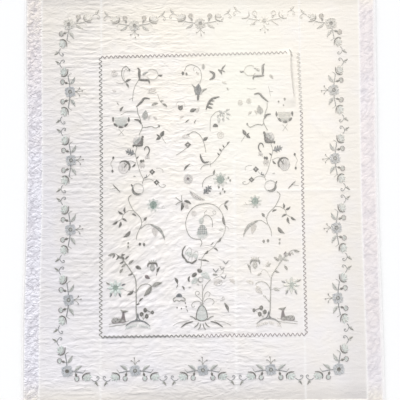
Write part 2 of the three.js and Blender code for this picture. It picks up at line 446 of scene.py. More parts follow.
    def painted_warmth(self, x, y):
        """Painted light colour: from 0, cool, at the foot and the left edge, to 1, warm, at the head's right.
        """
        left = area(x, y, *COOL_LEFT) * (y / EDGE_WARMS_HEAD - EDGE_COOLS)
        return np.clip(PAINTED_WARMTH + x / WARMS_RIGHT + y / WARMS_HEAD + left, 0, 1)

    def age(self, x, y):
        """How yellow the cloth is: most along its head and foot, and a little under the left tree."""
        ends = np.max([area(x, y, *each) for each in AGED_ENDS], axis=0)
        return ends + patch(x, y, *AGED)

    def cream(self, x, y):
        """A painted pool of warm light on the cloth: most to the right of its middle, towards the head."""
        return patch(x, y, *PAINTED_LIGHT_POOL)

    def faded(self, x, y):
        """How far the threads have faded: most towards the head's right."""
        patches = sum(patch(x, y, *each) for each in FADED)
        return (FADES_RIGHT * x + FADES_HEAD * y) * MM + patches - UNFADED

    def soil(self, x, y):
        """How much painted shade greys the cloth for the light's falloff: most along its left, and some along
        its right edge, its head and foot.
        """
        unshaded = LEFT_UNSHADED + (MIDDLE_UNSHADED + y / UNSHADES_HEAD) * area(x, y, *UNSHADED_RIGHT)
        unshaded += sum(area(x, y, *each) for each in UNSHADED_CORNERS)
        edges = sum(area(x, y, *each) for each in GREY_ENDS)
        edges += (RIGHT_GREY - y / GREYS_FOOT) * area(x, y, *GREY_RIGHT)
        edges *= 1 - area(x, y, *UNSHADED_FOOT)
        edges += sum(area(x, y, *each) for each in GREY_ROWS)
        return np.clip(PAINTED_FALLOFF_MOST * (1 - unshaded), 0, 1) + edges

    def casts(self, x, y):
        """The marks that all the quilted cloth carries for its material, painted light and shade among them.
        """
        return {"warm": self.painted_warmth(x, y), "aged": self.age(x, y), "cream": self.cream(x, y),
                "soiled": self.soil(x, y), "calm": self.calm(x, y)}

    def field_marks(self, x, y):
        """The marks of the field."""
        # The sewn mark is painted shade in the troughs; the crest mark is paler cloth, partly wear and partly
        # painted highlight
        return {"sewn": self.painted_trough_shade(x, y), "crest": self.crest(x, y), "slack": self.slack(x, y),
                **self.casts(x, y)}

    def band_marks(self, x, y):
        """The marks of a band, which is slanting and greyed by painted shade on the right alone, with painted
        shade in its creases.
        """
        low = 1 - (self.band(x, y) - self.sewn) / self.band_puff
        edge = self.band_edge(x, y)
        # The first mark is painted shade in the creases, the second paler edges from wear and painted
        # highlight, the last painted shade on the right
        return {"sewn": np.clip(low, 0, 1) * smooth(edge / SHADE_STARTS),
                "crest": np.exp(-(edge / SEAM_WEAR_AND_HIGHLIGHT) ** 2), "slack": np.where(x > 0, 1.0, 0.0),
                **self.casts(x, y), "soiled": np.where(x > 0, area(x, y, *GREY_RIGHT_BAND), 0)}


def slab(columns, rows):
    """A flat closed slab: a grid on top at height 1, a plain underside at height 0, from -1 to 1 each way."""
    bm = bmesh.new()
    bmesh.ops.create_grid(bm, x_segments=columns, y_segments=rows, size=1.0)
    bmesh.ops.translate(bm, verts=bm.verts, vec=(0, 0, 1))
    for face in bm.faces:
        face.smooth = True
    rim = [edge for edge in bm.edges if edge.is_boundary]
    made = bmesh.ops.extrude_edge_only(bm, edges=rim)["geom"]
    skirt = [v for v in made if isinstance(v, bmesh.types.BMVert)]
    bmesh.ops.translate(bm, verts=skirt, vec=(0, 0, -1))
    open_edges = [edge for edge in bm.edges if edge.is_boundary]
    bmesh.ops.holes_fill(bm, edges=open_edges, sides=0)
    bmesh.ops.recalc_face_normals(bm, faces=bm.faces)
    for edge in rim + open_edges:
        edge.smooth = False
    return bm


def finish_piece(name, mesh, materials):
    """Links a finished mesh as a piece that rides on the quilt."""
    for material in materials:
        mesh.materials.append(material)
    piece = bpy.data.objects.new(name, mesh)
    bpy.context.scene.collection.objects.link(piece)
    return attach(piece, BODY)


def sheet_piece(name, columns, rows, shape, material, marks=None):
    """A closed sheet. shape gives each point's x, y, underside and thickness from its place in the slab, from
    -1 to 1 each way. marks gives named values for the material there."""
    bm = slab(columns, rows)
    mesh = bpy.data.meshes.new(name)
    bm.to_mesh(mesh)
    bm.free()
    flat = np.empty(len(mesh.vertices) * 3)
    mesh.vertices.foreach_get("co", flat)
    u, v, top = flat.reshape(-1, 3).T
    x, y, low, tall = shape(u, v)
    points = np.stack([x, y, low + tall * top], axis=1) * MM
    mesh.vertices.foreach_set("co", points.ravel())
    for mark, values in (marks(u, v) if marks else {}).items():
        attribute = mesh.attributes.new(mark, "FLOAT", "POINT")
        attribute.data.foreach_set("value", values.astype(np.float32))
    mesh.update()
    return finish_piece(name, mesh, [material])


def unit(turn):
    """A step of length 1 at an angle in degrees."""
    return np.exp(1j * np.radians(turn))


class Place:
    """Where a motif goes: its root, the way it grows, its size and whether it is turned over."""

    def __init__(self, at, turn=0.0, size=1.0, over=False):
        self.at, self.turn, self.size, self.over = at, turn, size, over

    def __call__(self, points):
        points = np.asarray(points, complex)
        points = np.conj(points) if self.over else points
        return self.at + self.size * unit(self.turn) * points

    def on(self, at, turn=0.0, size=1.0):
        """A smaller place within this one."""
        turn = self.turn + (-turn if self.over else turn)
        return Place(complex(self(at)), turn, self.size * size, self.over)


# Steps of a smooth line from each given point to the next
CURVE_STEPS = 8


def run_of(points):
    """Length along a line of points, from its start to each of them."""
    return np.concatenate([[0], np.cumsum(np.abs(np.diff(points)))])


def smooth_line(points):
    """A smooth line through the given points."""
    p = np.asarray(points, complex)
    if len(p) < 3:
        return p
    p = np.concatenate([[2 * p[0] - p[1]], p, [2 * p[-1] - p[-2]]])
    a, b, c, d = (p[k:len(p) - 3 + k, None] for k in range(4))
    t = np.arange(CURVE_STEPS) / CURVE_STEPS
    square, cube = 2 * a - 5 * b + 4 * c - d, 3 * b - a - 3 * c + d
    bend = 0.5 * (2 * b + (c - a) * t + square * t ** 2 + cube * t ** 3)
    return np.append(bend.ravel(), p[-2])


def spaced(line, count):
    """That many points evenly along a line."""
    along = run_of(line)
    at = np.linspace(0, along[-1], count)
    return np.interp(at, along, line.real) + 1j * np.interp(at, along, line.imag)


def arc(centre, radius, start, end, count=13):
    """Points on an arc, with its angles in degrees."""
    return centre + radius * unit(np.linspace(start, end, count))


def leftward(steps):
    """Unit steps to the left of the given ones."""
    return 1j * steps / np.maximum(np.abs(steps), TINY)


# Stitch sizes
STEM_STITCH = 9.0
LINE_STITCH = 6.0
STEM_WIDTH = 2.6
FINE_WIDTH = 1.7
SATIN_WIDTH = 2.2
SATIN_PITCH = 2.1
PETAL_PITCH = 2.5
OPEN_PITCH = 3.3
FAINT_PITCH = 4.6
LONGEST_SATIN = 26.0
KNOT_WIDTH = 5.0

# How far stem stitches overlap, in stitches, and slant, in widths
STEM_OVERLAP, STEM_SLANT = 0.2, 0.22

# How uneven the joins of split satin stitches are, and how far they overlap, in stitches
SPLIT_UNEVEN, SPLIT_OVERLAP = 0.3, 0.2

# Points along a thick stroke, and how blunt its ends are, as an angle of its taper
BAR_POINTS = 9
BAR_BLUNT = 0.1

# Half the length of a knot, in widths
KNOT_REACH = 0.6

# Heights of fillings and of outlines above the stems that they cross
FILLING, OUTLINE = 1.0, 1.8

# A stitch as a strand: the corners of its section, across and up in widths, where its rings stand along it,
# how far its tips are sunk, in widths, and the least height of any point
SECTION = ((0.5, 0.25), (0.0, 0.8), (-0.5, 0.25), (0.0, -0.3))
ONE_RING, TWO_RINGS = (0.5,), (0.16, 0.84)
TIP_SUNK = 0.15
LEAST_STITCH = 0.3

# How much fading pale and dark stitches bear before they have worn away
PALE_BEARS, DARK_BEARS = 0.58, 1.3


class Needlework:
    """Stitches gathered in flat places, to become one joined mesh. With a mirror, all is worked beyond it."""

    def __init__(self, mirror=None):
        self.starts, self.ends, self.widths, self.threads, self.lifts = [], [], [], [], []
        self.mirror = mirror

    def placed(self, points):
        """Where the points are worked: in place, or beyond the mirror with the strays of handwork."""
        points = np.atleast_1d(points)
        if self.mirror is None:
            return points
        points = 2 * self.mirror - np.conj(points)
        heights, across, along = zip(*STRAY)
        return points + np.interp(points.imag, heights, across) + 1j * np.interp(points.imag, heights, along)

    def add(self, starts, ends, width, thread, lift=0.0):
        """Adds straight stitches of one width and one thread."""
        self.starts.append(self.placed(starts))
        self.ends.append(self.placed(ends))
        for values, value in ((self.widths, width), (self.threads, thread), (self.lifts, lift)):
            values.append(np.full(len(self.starts[-1]), value))

    def stem(self, points, thread=SAGE, width=STEM_WIDTH, stitch=STEM_STITCH, lift=0.0):
        """A line of slanting, overlapping stitches."""
        line = smooth_line(points)
        line = spaced(line, max(2, round(run_of(line)[-1] / stitch) + 1))
        step = np.diff(line)
        reach = STEM_OVERLAP * step + STEM_SLANT * width * leftward(step)
        self.add(line[:-1] - reach, line[1:] + reach, width, thread, lift)

    def line(self, points, thread=SAGE, width=FINE_WIDTH):
        """A fine line over fillings."""
        self.stem(points, thread, width, LINE_STITCH, OUTLINE)

    def satin(self, one, other, thread, pitch=SATIN_PITCH, lift=FILLING):
        """Close stitches from one edge to the other, split where they would be long."""
        one, other = smooth_line(one), smooth_line(other)
        count = max(3, round(max(run_of(one)[-1], run_of(other)[-1]) / pitch))
        a, b = spaced(one, count), spaced(other, count)
        parts = max(1, math.ceil(np.abs(b - a).max() / LONGEST_SATIN))
        uneven = SPLIT_UNEVEN * (np.arange(count) % 2)
        for k in range(parts):
            start = k + (uneven - SPLIT_OVERLAP if k > 0 else 0)
            end = k + 1 + (uneven if k < parts - 1 else 0)
            self.add(a + (b - a) * start / parts, a + (b - a) * end / parts, SATIN_WIDTH, thread, lift)

    def bar(self, points, width, thread=CHARCOAL):
        """A thick line that tapers to its ends, in satin stitch."""
        line = spaced(smooth_line(points), BAR_POINTS)
        taper = np.sqrt(np.sin(np.linspace(BAR_BLUNT, math.pi - BAR_BLUNT, BAR_POINTS)))
        half = 0.5 * width * taper * leftward(np.gradient(line))
        self.satin(line + half, line - half, thread, lift=OUTLINE)

    def knot(self, at, thread=CHARCOAL, width=KNOT_WIDTH):
        """A knot: a short, fat stitch."""
        reach = KNOT_REACH * width
        self.add(np.array([at - reach]), np.array([at + reach]), width, thread, OUTLINE)

    def disc(self, centre, radius, thread, pitch=SATIN_PITCH):
        """A filled round."""
        self.satin(arc(centre, radius, 90, 270), arc(centre, radius, 90, -90), thread, pitch)

    def ring(self, centre, radius, thread, width=FINE_WIDTH):
        """A round outline."""
        self.line(arc(centre, radius, 0, 360, 17), thread, width)

    def mesh(self, name, cloth, rings=TWO_RINGS):
        """All the stitches as one joined mesh of tapered strands that follow the field."""
        a, b = np.concatenate(self.starts), np.concatenate(self.ends)
        width = np.concatenate(self.widths)
        thread = np.concatenate(self.threads)
        layer = np.concatenate(self.lifts)
        x, y = 0.5 * (a + b).real, 0.5 * (a + b).imag
        worn = cloth.faded(x, y) + lumps(x, y, *WEAR_LUMPS)
        kept = worn < np.where(np.isin(thread, PALE_THREADS), PALE_BEARS, DARK_BEARS)
        a, b, width, thread, layer = (values[kept] for values in (a, b, width, thread, layer))
        step = b - a
        across = leftward(step) * width
        tip = -TIP_SUNK * width
        flat = [a] + [a + step * t + across * side for t in rings for side, _ in SECTION] + [b]
        lift = [tip] + [layer + width * up for _ in rings for _, up in SECTION] + [tip]
        flat, lift = np.stack(flat, axis=1), np.stack(lift, axis=1)
        x, y = flat.real, flat.imag
        z = np.maximum(cloth.field(x, y) + lift, LEAST_STITCH)
        points = np.stack([x + cloth.drawn_in(x, y), y, z], axis=-1) * MM
        return joined_mesh(name, points, strand_faces(len(rings)), thread, cloth.faded(x, y))


def strand_faces(rings):
    """Faces of one stitch: both its tips, and the sides between its rings."""
    sides = len(SECTION)
    last = sides * rings + 1
    faces = []
    for k in range(sides):
        after = (k + 1) % sides
        faces.append((0, 1 + after, 1 + k))
        faces.append((last, last - sides + k, last - sides + after))
        for ring in range(1, last - sides, sides):
            faces.append((ring + k, ring + after, ring + sides + after, ring + sides + k))
    return faces


def joined_mesh(name, points, faces, slots, faded):
    """One mesh of many like pieces. points holds each piece's points, and faces those of one piece."""
    pieces, each = points.shape[:2]
    sizes = np.array([len(face) for face in faces])
    corners = np.concatenate([np.array(face) for face in faces])
    loops = (corners[None, :] + each * np.arange(pieces)[:, None]).ravel()
    totals = np.tile(sizes, pieces)
    mesh = bpy.data.meshes.new(name)
    mesh.vertices.add(pieces * each)
    mesh.vertices.foreach_set("co", points.ravel())
    mesh.loops.add(len(loops))
    mesh.loops.foreach_set("vertex_index", loops)
    mesh.polygons.add(len(totals))
    mesh.polygons.foreach_set("loop_start", np.concatenate([[0], np.cumsum(totals)[:-1]]))
    mesh.polygons.foreach_set("material_index", np.repeat(slots, len(faces)))
    mesh.polygons.foreach_set("use_smooth", np.ones(len(totals), bool))
    mesh.attributes.new("faded", "FLOAT", "POINT").data.foreach_set("value", faded.ravel().astype(np.float32))
    mesh.update(calc_edges=True)
    mesh.validate()
    return mesh


# Motifs. Each grows from its root at 0 along +x, one unit long, and is drawn at a Place


def leaf(work, place, width=0.42, bend=0.1, fill=CHARCOAL, pitch=SATIN_PITCH, rim=None):
    """A pointed leaf filled with satin stitch."""
    t = np.linspace(0, 1, 9)
    rib = t + 1j * bend * np.sin(math.pi * t)
    half = 0.5j * width * np.sin(math.pi * t ** 0.8)
    one, other = place(rib + half), place(rib - half)
    work.satin(one, other, fill, pitch)
    if rim is not None:
        work.line(one, rim)
        work.line(other, rim)


def ray(work, place, turn, near, size, width, fill=CHARCOAL, pitch=SATIN_PITCH):
    """A straight leaf that starts some way out from the root and points away from it."""
    leaf(work, place.on(near * unit(turn), turn, size), width, 0, fill, pitch)


def petal(work, place):
    """A pale petal, broad towards its round end."""
    t = np.linspace(0, 1, 9)
    half = 0.5j * np.sin(math.pi * np.clip(t, 0, 0.985) ** 1.7) ** 0.8
    work.satin(place(t + half), place(t - half), BLUE, PETAL_PITCH)


# Kinds of leaves: narrow and broad dark ones, open grey ones with a rim, and paler ones
slim_leaf = partial(leaf, width=0.24, bend=0.07)
broad_leaf = partial(leaf, width=0.66, bend=0)
grey_leaf = partial(leaf, width=0.36, bend=0.05, fill=SAGE, pitch=OPEN_PITCH, rim=SAGE)
pale_leaf = partial(leaf, width=0.7, fill=MINT, pitch=FAINT_PITCH)
stone_leaf = partial(leaf, width=0.66, bend=0, fill=STONE, pitch=OPEN_PITCH)
mauve_leaf = partial(leaf, width=0.66, bend=0, fill=MAUVE)
lilac_leaf = partial(leaf, width=0.6, fill=LILAC, pitch=FAINT_PITCH)


def feather(work, place):
    """A bending pale leaf with knots along its middle."""
    leaf(work, place, 0.22, -0.11, LILAC, 5.0, STONE)
    t = np.linspace(0.12, 0.88, 8)
    for at in place(t - 0.11j * np.sin(math.pi * t)):
        work.knot(complex(at), MAUVE, 3.6)


def arched_leaf(work, place):
    """A long grey leaf that bends over, with teeth along its outer edge."""
    leaf(work, place, 0.13, 0.16, STONE, OPEN_PITCH, SAGE)
    for along in (0.34, 0.5, 0.66, 0.82):
        root = along + 1j * (0.16 * math.sin(math.pi * along) + 0.03)
        leaf(work, place.on(root, 16 - 60 * along, 0.13), 0.4, 0, SAGE)


def oak_leaf(work, place):
    """A dark leaf with three pairs of lobes."""
    leaf(work, place, 0.3, 0.04, SLATE)
    for along, size in ((0.2, 0.36), (0.44, 0.36), (0.68, 0.28)):
        for side in (-1, 1):
            leaf(work, place.on(along, 58 * side, size), 0.5, 0, SLATE)


def fern(work, place):
    """A bending dark rib with short leaves on its inner side."""
    rib = smooth_line(place([0, 0.2 + 0.1j, 0.38 + 0.17j, 0.66 + 0.19j, 1]))
    work.bar(rib, 0.13 * place.size)
    for k, root in enumerate(spaced(rib, 7)[1:-2]):
        leaf(work, Place(root, place.turn - 62 + 6 * k, place.size * (0.32 - 0.04 * k)), 0.46, 0)


def bud(work, place):
    """A round pale bud on a stalk, in a dark calyx."""
    work.stem(place([0, 0.3]), SAGE, 2.6)
    work.disc(place(0.76), 0.22 * place.size, MINT, OPEN_PITCH)
    work.line(place(arc(0.76, 0.24, -160, 130)), MAUVE, 2.4)
    leaf(work, place.on(0.2, 0, 0.4), 0.7, 0)


def diamond(work, place):
    """A dark square set on its corner, with a white middle. Its root is its middle."""
    for k in range(4):
        side = place([1j ** k, 1j ** (k + 1)])
        inner = place([0.32 * 1j ** k, 0.32 * 1j ** (k + 1)])
        work.satin(side, inner, CHARCOAL)
    work.disc(place(0), 0.24 * place.size, WHITE)


def fan_leaf(work, place):
    """A round leaf of grey-green rays from a dark back."""
    middle = 0.28 + 0.06j
    for k, turn in enumerate(np.linspace(-58, 148, 9)):
        way = 0.5 + (0.42 + 0.07 * (k % 2)) * unit(turn) - middle
        leaf(work, place.on(middle, math.degrees(np.angle(way)), abs(way)), 0.5, 0, MINT if k % 2 else STONE)
    work.bar(place([0.36 + 0.5j, 0.14 + 0.3j, 0.1 + 0.04j, 0.24 - 0.22j, 0.54 - 0.46j]), 0.13 * place.size)


def spray(work, place):
    """Three fine curving threads with a knot on each tip."""
    for lean, reach, bend in ((-30, 0.8, -0.16), (4, 1, 0.03), (28, 0.8, 0.16)):
        one = place.on(0, lean, reach)
        work.stem(one([0, 0.45 - 0.4j * bend, 0.8, 1 + 1j * bend]), SAGE, 2.6)
        work.knot(complex(one(1 + 1j * bend)), CHARCOAL, 5.5)


def flower(work, place, centre=STONE):
    """An open flower of pale petals round a dark-rimmed heart."""
    petals, heart_size = 8, 0.28
    for k in range(petals):
        turn = 360 * k / petals + 10
        way = unit(turn)
        petal(work, place.on(0.14 * way, turn, 0.8 + 0.1 * (k % 2)))
        work.line(place(way * np.exp(1j * math.pi / petals) * np.array([0.42, 0.85])), SAGE, 1.6)
    work.disc(place(0), heart_size * place.size, centre)
    work.ring(place(0), heart_size * place.size, CHARCOAL, 4.4)


def round_flower(work, place):
    """A filled green heart in a faint ring of petals."""
    for turn in range(0, 360, 40):
        ray(work, place, turn, 0.5, 0.6, 0.9, MINT, 4.4)
    work.disc(place(0), 0.58 * place.size, TEAL)


def shaded_flower(work, place):
    """A pale round under a dark brow, with two dark strokes that meet in it."""
    work.disc(place(-0.1 - 0.12j), 0.94 * place.size, LILAC)
    work.bar(place(arc(0, 0.96, -34, 140)), 0.36 * place.size)
    work.bar(place([0.6 + 0.6j, 0.3 + 0.26j, 0.0 - 0.12j]), 0.26 * place.size)
    work.bar(place([0.04 + 0.66j, 0.2 + 0.4j, 0.3 + 0.2j]), 0.16 * place.size, SAGE)


def disc_flower(work, place):
    """A pale round with a darker heart and rim."""
    work.disc(place(0), place.size, LILAC)
    for turn in range(0, 360, 30):
        work.knot(complex(place(0.72 * unit(turn))), STONE, 4.6)
    for turn in range(0, 360, 90):
        work.knot(complex(place(0.16 * unit(turn))), MAUVE, 7.0)


def star_flower(work, place):
    """A green heart with pale rays and four dark tips between them."""
    for turn in range(0, 360, 45):
        ray(work, place, turn, 0.2, 0.62, 0.62, MINT)
    for turn, fill in ((60, SAGE), (148, SLATE), (-148, SLATE), (-68, SLATE)):
        ray(work, place, turn, 0.62, 0.46, 0.44, fill)
    work.disc(place(0), 0.32 * place.size, TEAL)


def cup_flower(work, place):
    """A pale cup in five dark petals: one at each side and three under it."""
    rim = np.array([0.2 + 0.3j, 0.45 + 0.58j, 0.95 + 0.62j])
    work.satin(place(rim), place(np.conj(rim)), MINT, 6.0)
    for turn in (92, 137, 180, 223, 268):
        way = unit(turn)
        leaf(work, place.on(0.8 + way * (0.74 - 0.26j), turn + 90, 0.52), 0.46, 0)


def bowl_flower(work, place):
    """A pale round outline with a dark bowl. Its root is its middle."""
    work.ring(place(0), place.size, STONE, 2.6)
    work.bar(place(arc(0, 0.92, 158, 300)), 0.5 * place.size)


def seed_head(work, place):
    """A seed head that opens pale between two rows of dark scales."""
    edge = smooth_line(np.array([0.1, 0.5, 0.76, 0.9]) * unit([40, 44, 32, 8]))
    for start, end, fill in ((0, 8, MAUVE), (7, 16, STONE), (15, 25, LILAC)):
        work.satin(place(edge[start:end]), place(np.conj(edge[start:end])), fill)
    arm = unit(46) * np.array([0.76, 0.38])
    work.bar(place([*arm, 0.03, *np.conj(arm[::-1])]), 0.26 * place.size)
    for at in (0.7, 0.46, 0.26):
        scale = at * unit(52)
        for here in (scale, np.conj(scale)):
            work.disc(place(here), 0.09 * place.size, CHARCOAL)


def thistle(work, place):
    """A dark brow on a grey cup, with a fringe of grey over it."""
    leaf(work, place.on(-0.15, 0, 0.84), 0.6, 0, STONE, OPEN_PITCH, SAGE)
    work.bar(place([0.32 + 0.5j, 0.54 + 0.47j, 0.7 + 0.34j, 0.72, 0.7 - 0.34j, 0.54 - 0.47j, 0.32 - 0.5j]),
             0.27 * place.size)
    for lean in (-44, -15, 15, 44):
        root = 0.72 + 0.34j * math.sin(math.radians(lean))
        leaf(work, place.on(root, 0.6 * lean, 0.4), 0.42, 0, STONE)


def dome(work, place):
    """A grey dome over a pale bowl."""
    work.satin(place(arc(0.42, 0.34, 90, 180)), place(arc(0.42, 0.34, 270, 180)), SLATE)
    bowl = np.array([0.44 + 0.36j, 0.6 + 0.6j, 0.84 + 0.52j, 0.72 + 0.24j, 0.84])
    work.line(place(bowl), SAGE, 4.0)
    work.line(place(np.conj(bowl)), SAGE, 4.0)


def half_moon(work, place):
    """A dark half round."""
    work.satin(place(arc(0, 1, 0, 90)), place(arc(0, 1, 0, -90)), CHARCOAL)


def heart(work, place):
    """A dark heart under a faint arch."""
    for side in (-1, 1):
        leaf(work, place.on(0, 20 * side, 0.6), 0.62, 0)
    leaf(work, place.on(0, 0, 0.5), 0.6, 0)
    work.line(place([0.5 + 0.46j, 0.85 + 0.4j, 1, 0.85 - 0.4j, 0.5 - 0.46j]), STONE)


def lily(work, place):
    """A tall flower on a thick stalk: a dark middle petal, and lighter ones to the left and the right."""
    work.bar(place([0, 0.16, 0.36]), 0.16 * place.size)
    leaf(work, place.on(0.26, 2, 0.72), 0.62, 0.04, SLATE)
    leaf(work, place.on(0.26 + 0.14j, 24, 0.72), 0.22, -0.16, SAGE)
    leaf(work, place.on(0.5 - 0.16j, -56, 0.38), 0.4, 0.1, SAGE)
    leaf(work, place.on(0.34 - 0.1j, -24, 0.3), 0.5, 0, LILAC)


def scroll_flower(work, place):
    """A pale flower of open curling outlines in a small dark calyx."""
    leaf(work, place.on(-0.1, 0, 0.26), 0.5, 0)
    for side in (-1, 1):
        work.line(place([0.12, 0.3 + 0.26j * side, 0.58 + 0.3j * side, 0.76 + 0.2j * side]), STONE, 2.4)
    leaf(work, place.on(0.74 - 0.1j, 20, 0.24), 0.5, 0, STONE)


def fringe_flower(work, place):
    """A loose tuft of small grey-green stitches."""
    stitches = ((-64, 0.3, 0.55), (-50, 0.5, 0.9), (-36, 0.2, 0.45), (-24, 0.55, 0.85), (-10, 0.3, 0.6),
                (2, 0.66, 0.95), (12, 0.2, 0.45), (24, 0.5, 0.85), (38, 0.3, 0.55), (52, 0.45, 0.75))
    for turn, near, far in stitches:
        ray(work, place, turn, near, far - near, 0.6, MINT if turn % 4 else STONE)
    leaf(work, place.on(-0.05, 0, 0.4), 0.6, 0, STONE)


def lattice_flower(work, place):
    """A tall dome under crossed threads, with a skirt of pale petals below it."""
    for turn in range(80, 281, 20):
        ray(work, place.on(0.2), turn, 0.3, 0.7, 0.5, MINT, FAINT_PITCH)
    tall, wide = 1.45, 0.76j
    level = np.linspace(0, 0.97, 9)
    half = wide * np.sqrt(1 - level ** 2)
    work.satin(place(tall * level + half), place(tall * level - half), MINT, FAINT_PITCH)
    for share in (0.05, 0.26, 0.47, 0.68, 0.86):
        reach = wide * math.sqrt(1 - share ** 2)
        work.line(place([tall * share - reach, tall * share + reach]), SLATE, 1.8)
    for share in (-0.8, -0.4, 0, 0.4, 0.8):
        work.line(place([wide * share, wide * share + tall * math.sqrt(1 - share ** 2)]), SLATE, 1.8)


def curl(work, place):
    """A fine stem that curls up."""
    t = np.linspace(0, 1, 13)
    ring = 0.62 + 0.38j + 0.38 * (1 - 0.6 * t) * np.exp(1j * (2.1 * math.pi * t - math.pi / 2))
    work.stem(place(np.concatenate([[0, 0.3 + 0.01j], ring])), SAGE, 2.0, 6)


def fork(work, place):
    """Two short grey strokes from one root."""
    for lean in (-38, 38):
        work.bar(place([0, 0.9 * unit(lean)]), 5.5, SLATE)


def pair(work, place, radius=8, thread=CHARCOAL):
    """Two seeds, at the root and the tip."""
    for at in (0, 1):
        work.disc(place(at), radius, thread)


def seed(work, place, thread=CHARCOAL):
    """One seed. Its root is its middle."""
    work.disc(place(0), place.size, thread)


grey_pair = partial(pair, radius=6, thread=SAGE)
grey_seed = partial(seed, thread=SAGE)


def pale_round(work, place):
    """Two faint rings. Their root is their middle."""
    for share in (1, 0.5):
        work.ring(place(0), share * place.size, LILAC, 2.4)


def berries(work, place):
    """Dark berries with grey hearts on fine stalks."""
    for at, size in ((0.83 - 0.25j, 0.205), (0.45 + 0.08j, 0.2), (0.27 - 0.4j, 0.205), (0.64 - 0.92j, 0.16)):
        work.stem(place([-0.05 - 0.1j, 0.5 * at + 0.04, at]), SAGE, FINE_WIDTH)
        work.disc(place(at), size * place.size, CHARCOAL)
        work.knot(complex(place(at)), STONE, 3.4)
    work.bar(place([0.8 - 0.4j, 0.72 - 0.6j, 0.64 - 0.85j]), 4.5)


def mound(work, place):
    """A little hill with the foot of a trunk and grass under its brow. It grows upwards."""
    work.bar(place([-0.19 + 0.48j, -0.03 + 0.27j, 0.02, -0.03 - 0.27j, -0.19 - 0.48j]), 10, SLATE)
    for side in (-1, 1):
        work.bar(place([0.3 + 0.01j * side, 0.13 + 0.03j * side, 0.02 + 0.12j * side]), 6.0, SLATE)
        for k in range(6):
            grass = -0.09 - 0.02 * k + (0.03 + 0.08 * k) * 1j * side
            work.bar(place([grass, grass - 0.07 + 0.03j * side, grass - 0.13 + 0.07j * side]), 4.5, MINT)


def deer(work, place):
    """A small spotted deer lying on the grass, that looks along +x."""
    back = smooth_line(place([0.1j, 0.02 + 0.24j, 0.14 + 0.35j, 0.34 + 0.34j, 0.56 + 0.27j, 0.8 + 0.32j]))
    belly = smooth_line(place([0.06j, 0.1 - 0.03j, 0.35 - 0.05j, 0.6 - 0.03j, 0.85 - 0.04j, 1.02 + 0.06j]))
    work.satin(spaced(back, 10), spaced(belly, 10), SAGE, 4.8)
    work.line(belly, MAUVE, 3.0)
    for spot in (0.16 + 0.22j, 0.3 + 0.08j, 0.42 + 0.2j, 0.58 + 0.06j, 0.68 + 0.18j):
        work.knot(complex(place(spot)), CHARCOAL, 4.4)
    nape = smooth_line(place([0.66 + 0.26j, 0.76 + 0.5j, 0.78 + 0.74j]))
    throat = smooth_line(place([1.04 + 0.08j, 0.98 + 0.4j, 0.94 + 0.74j]))
    work.satin(nape, throat, MAUVE, 3.6)
    leaf(work, place.on(0.72 + 0.74j, 2, 0.5), 0.4, 0, SAGE)
    leaf(work, place.on(0.86 + 0.76j, 148, 0.26), 0.46, 0, SAGE)
    grass = np.array([-0.2, 0.3 + 0.05j, 0.8 + 0.1j, 1.25 + 0.2j])
    for low in (-0.12j, -0.3j):
        work.stem(place(grass + low), SAGE, 2.6)


def bulb(work, place):
    """A bell-shaped bulb with roots below it. It grows upwards."""
    t = np.linspace(0, 1, 11)
    swell = (t - 0.18) / np.where(t < 0.18, 0.2, 0.88)
    half = 0.385j * (1 - swell ** 2) ** 0.65
    work.satin(place(t + half), place(t - half), MINT, 5.6)
    work.bar(place([0.24 + 0.4j, 0.05 + 0.28j, -0.02, 0.05 - 0.28j, 0.24 - 0.4j]), 4.5)
    for level, reach in ((0.56, 0.16), (0.68, 0.14), (0.8, 0.1)):
        work.line(place([level - 1j * reach, level + 1j * reach]), LILAC)
    for side in (-1, 1):
        work.line(place(t + side * half), CHARCOAL, 3.8)
        work.bar(place([0.94 + 0.12j * side, 1.04, 1.14 - 0.12j * side]), 4.0, SAGE)
        work.bar(place([-0.06 + 0.6j * side, -0.19 + 1.04j * side, -0.45 + 1.42j * side]), 9.0)
        work.stem(place([0.85j * side, -0.13 + 1.54j * side, -0.34 + 1.96j * side]), SAGE, 2.2)
        work.bar(place([0.3 + 0.8j * side, 0.22 + 0.58j * side, 0.04 + 0.38j * side]), 6.0, SAGE)
        work.bar(place([-0.12 + 0.22j * side, -0.3 + 0.32j * side, -0.45 + 0.52j * side]), 7.0, SAGE)
        work.bar(place([-0.2 + 0.08j * side, -0.45 + 0.14j * side, -0.62 + 0.26j * side]), 6.0, SAGE)


# Length of half a repeat of the vine as it is drawn here
DRAWN_HALF = 190


def half_repeat(work, place, half):
    """Half a repeat of the border vine: from a flower at 0 along +x to the middle of the gap, outwards +y."""
    s = half / DRAWN_HALF
    work.stem(place([26 * s + 1j, 50 * s + 4j, 72 * s + 8j, 90 * s + 11j]), SLATE, 4.6)
    work.stem(place([88 * s + 10j, 96 * s + 3j, 102 * s - 8j]), SAGE, 2.4)
    work.stem(place([137 * s + 46j, 147 * s + 54j, 158 * s + 56j, 169 * s + 51j, 178 * s + 42j, 178 * s + 33j,
                     170 * s + 29j, 165 * s + 35j, 170 * s + 39j]), SLATE, 3.4, LINE_STITCH)
    leaf(work, place.on(42 * s - 2j, -34, 48), 0.46, -0.04, STONE)
    work.line(place([44 * s - 3j, 60 * s - 14j, 82 * s - 28j]), SAGE, 2.6)
    bud(work, place.on(45 * s + 2j, 76, 54))
    fan_leaf(work, place.on(89 * s + 16j, 34, 56))
    leaf(work, place.on(157 * s + 57j, 56, 31), 0.38, 0, SAGE)
    leaf(work, place.on(160 * s + 56j, 112, 18), 0.4, 0, STONE)


# Ways that the four sides look out, in degrees
RIGHT, HEAD, LEFT, FOOT = 0, 90, 180, -90

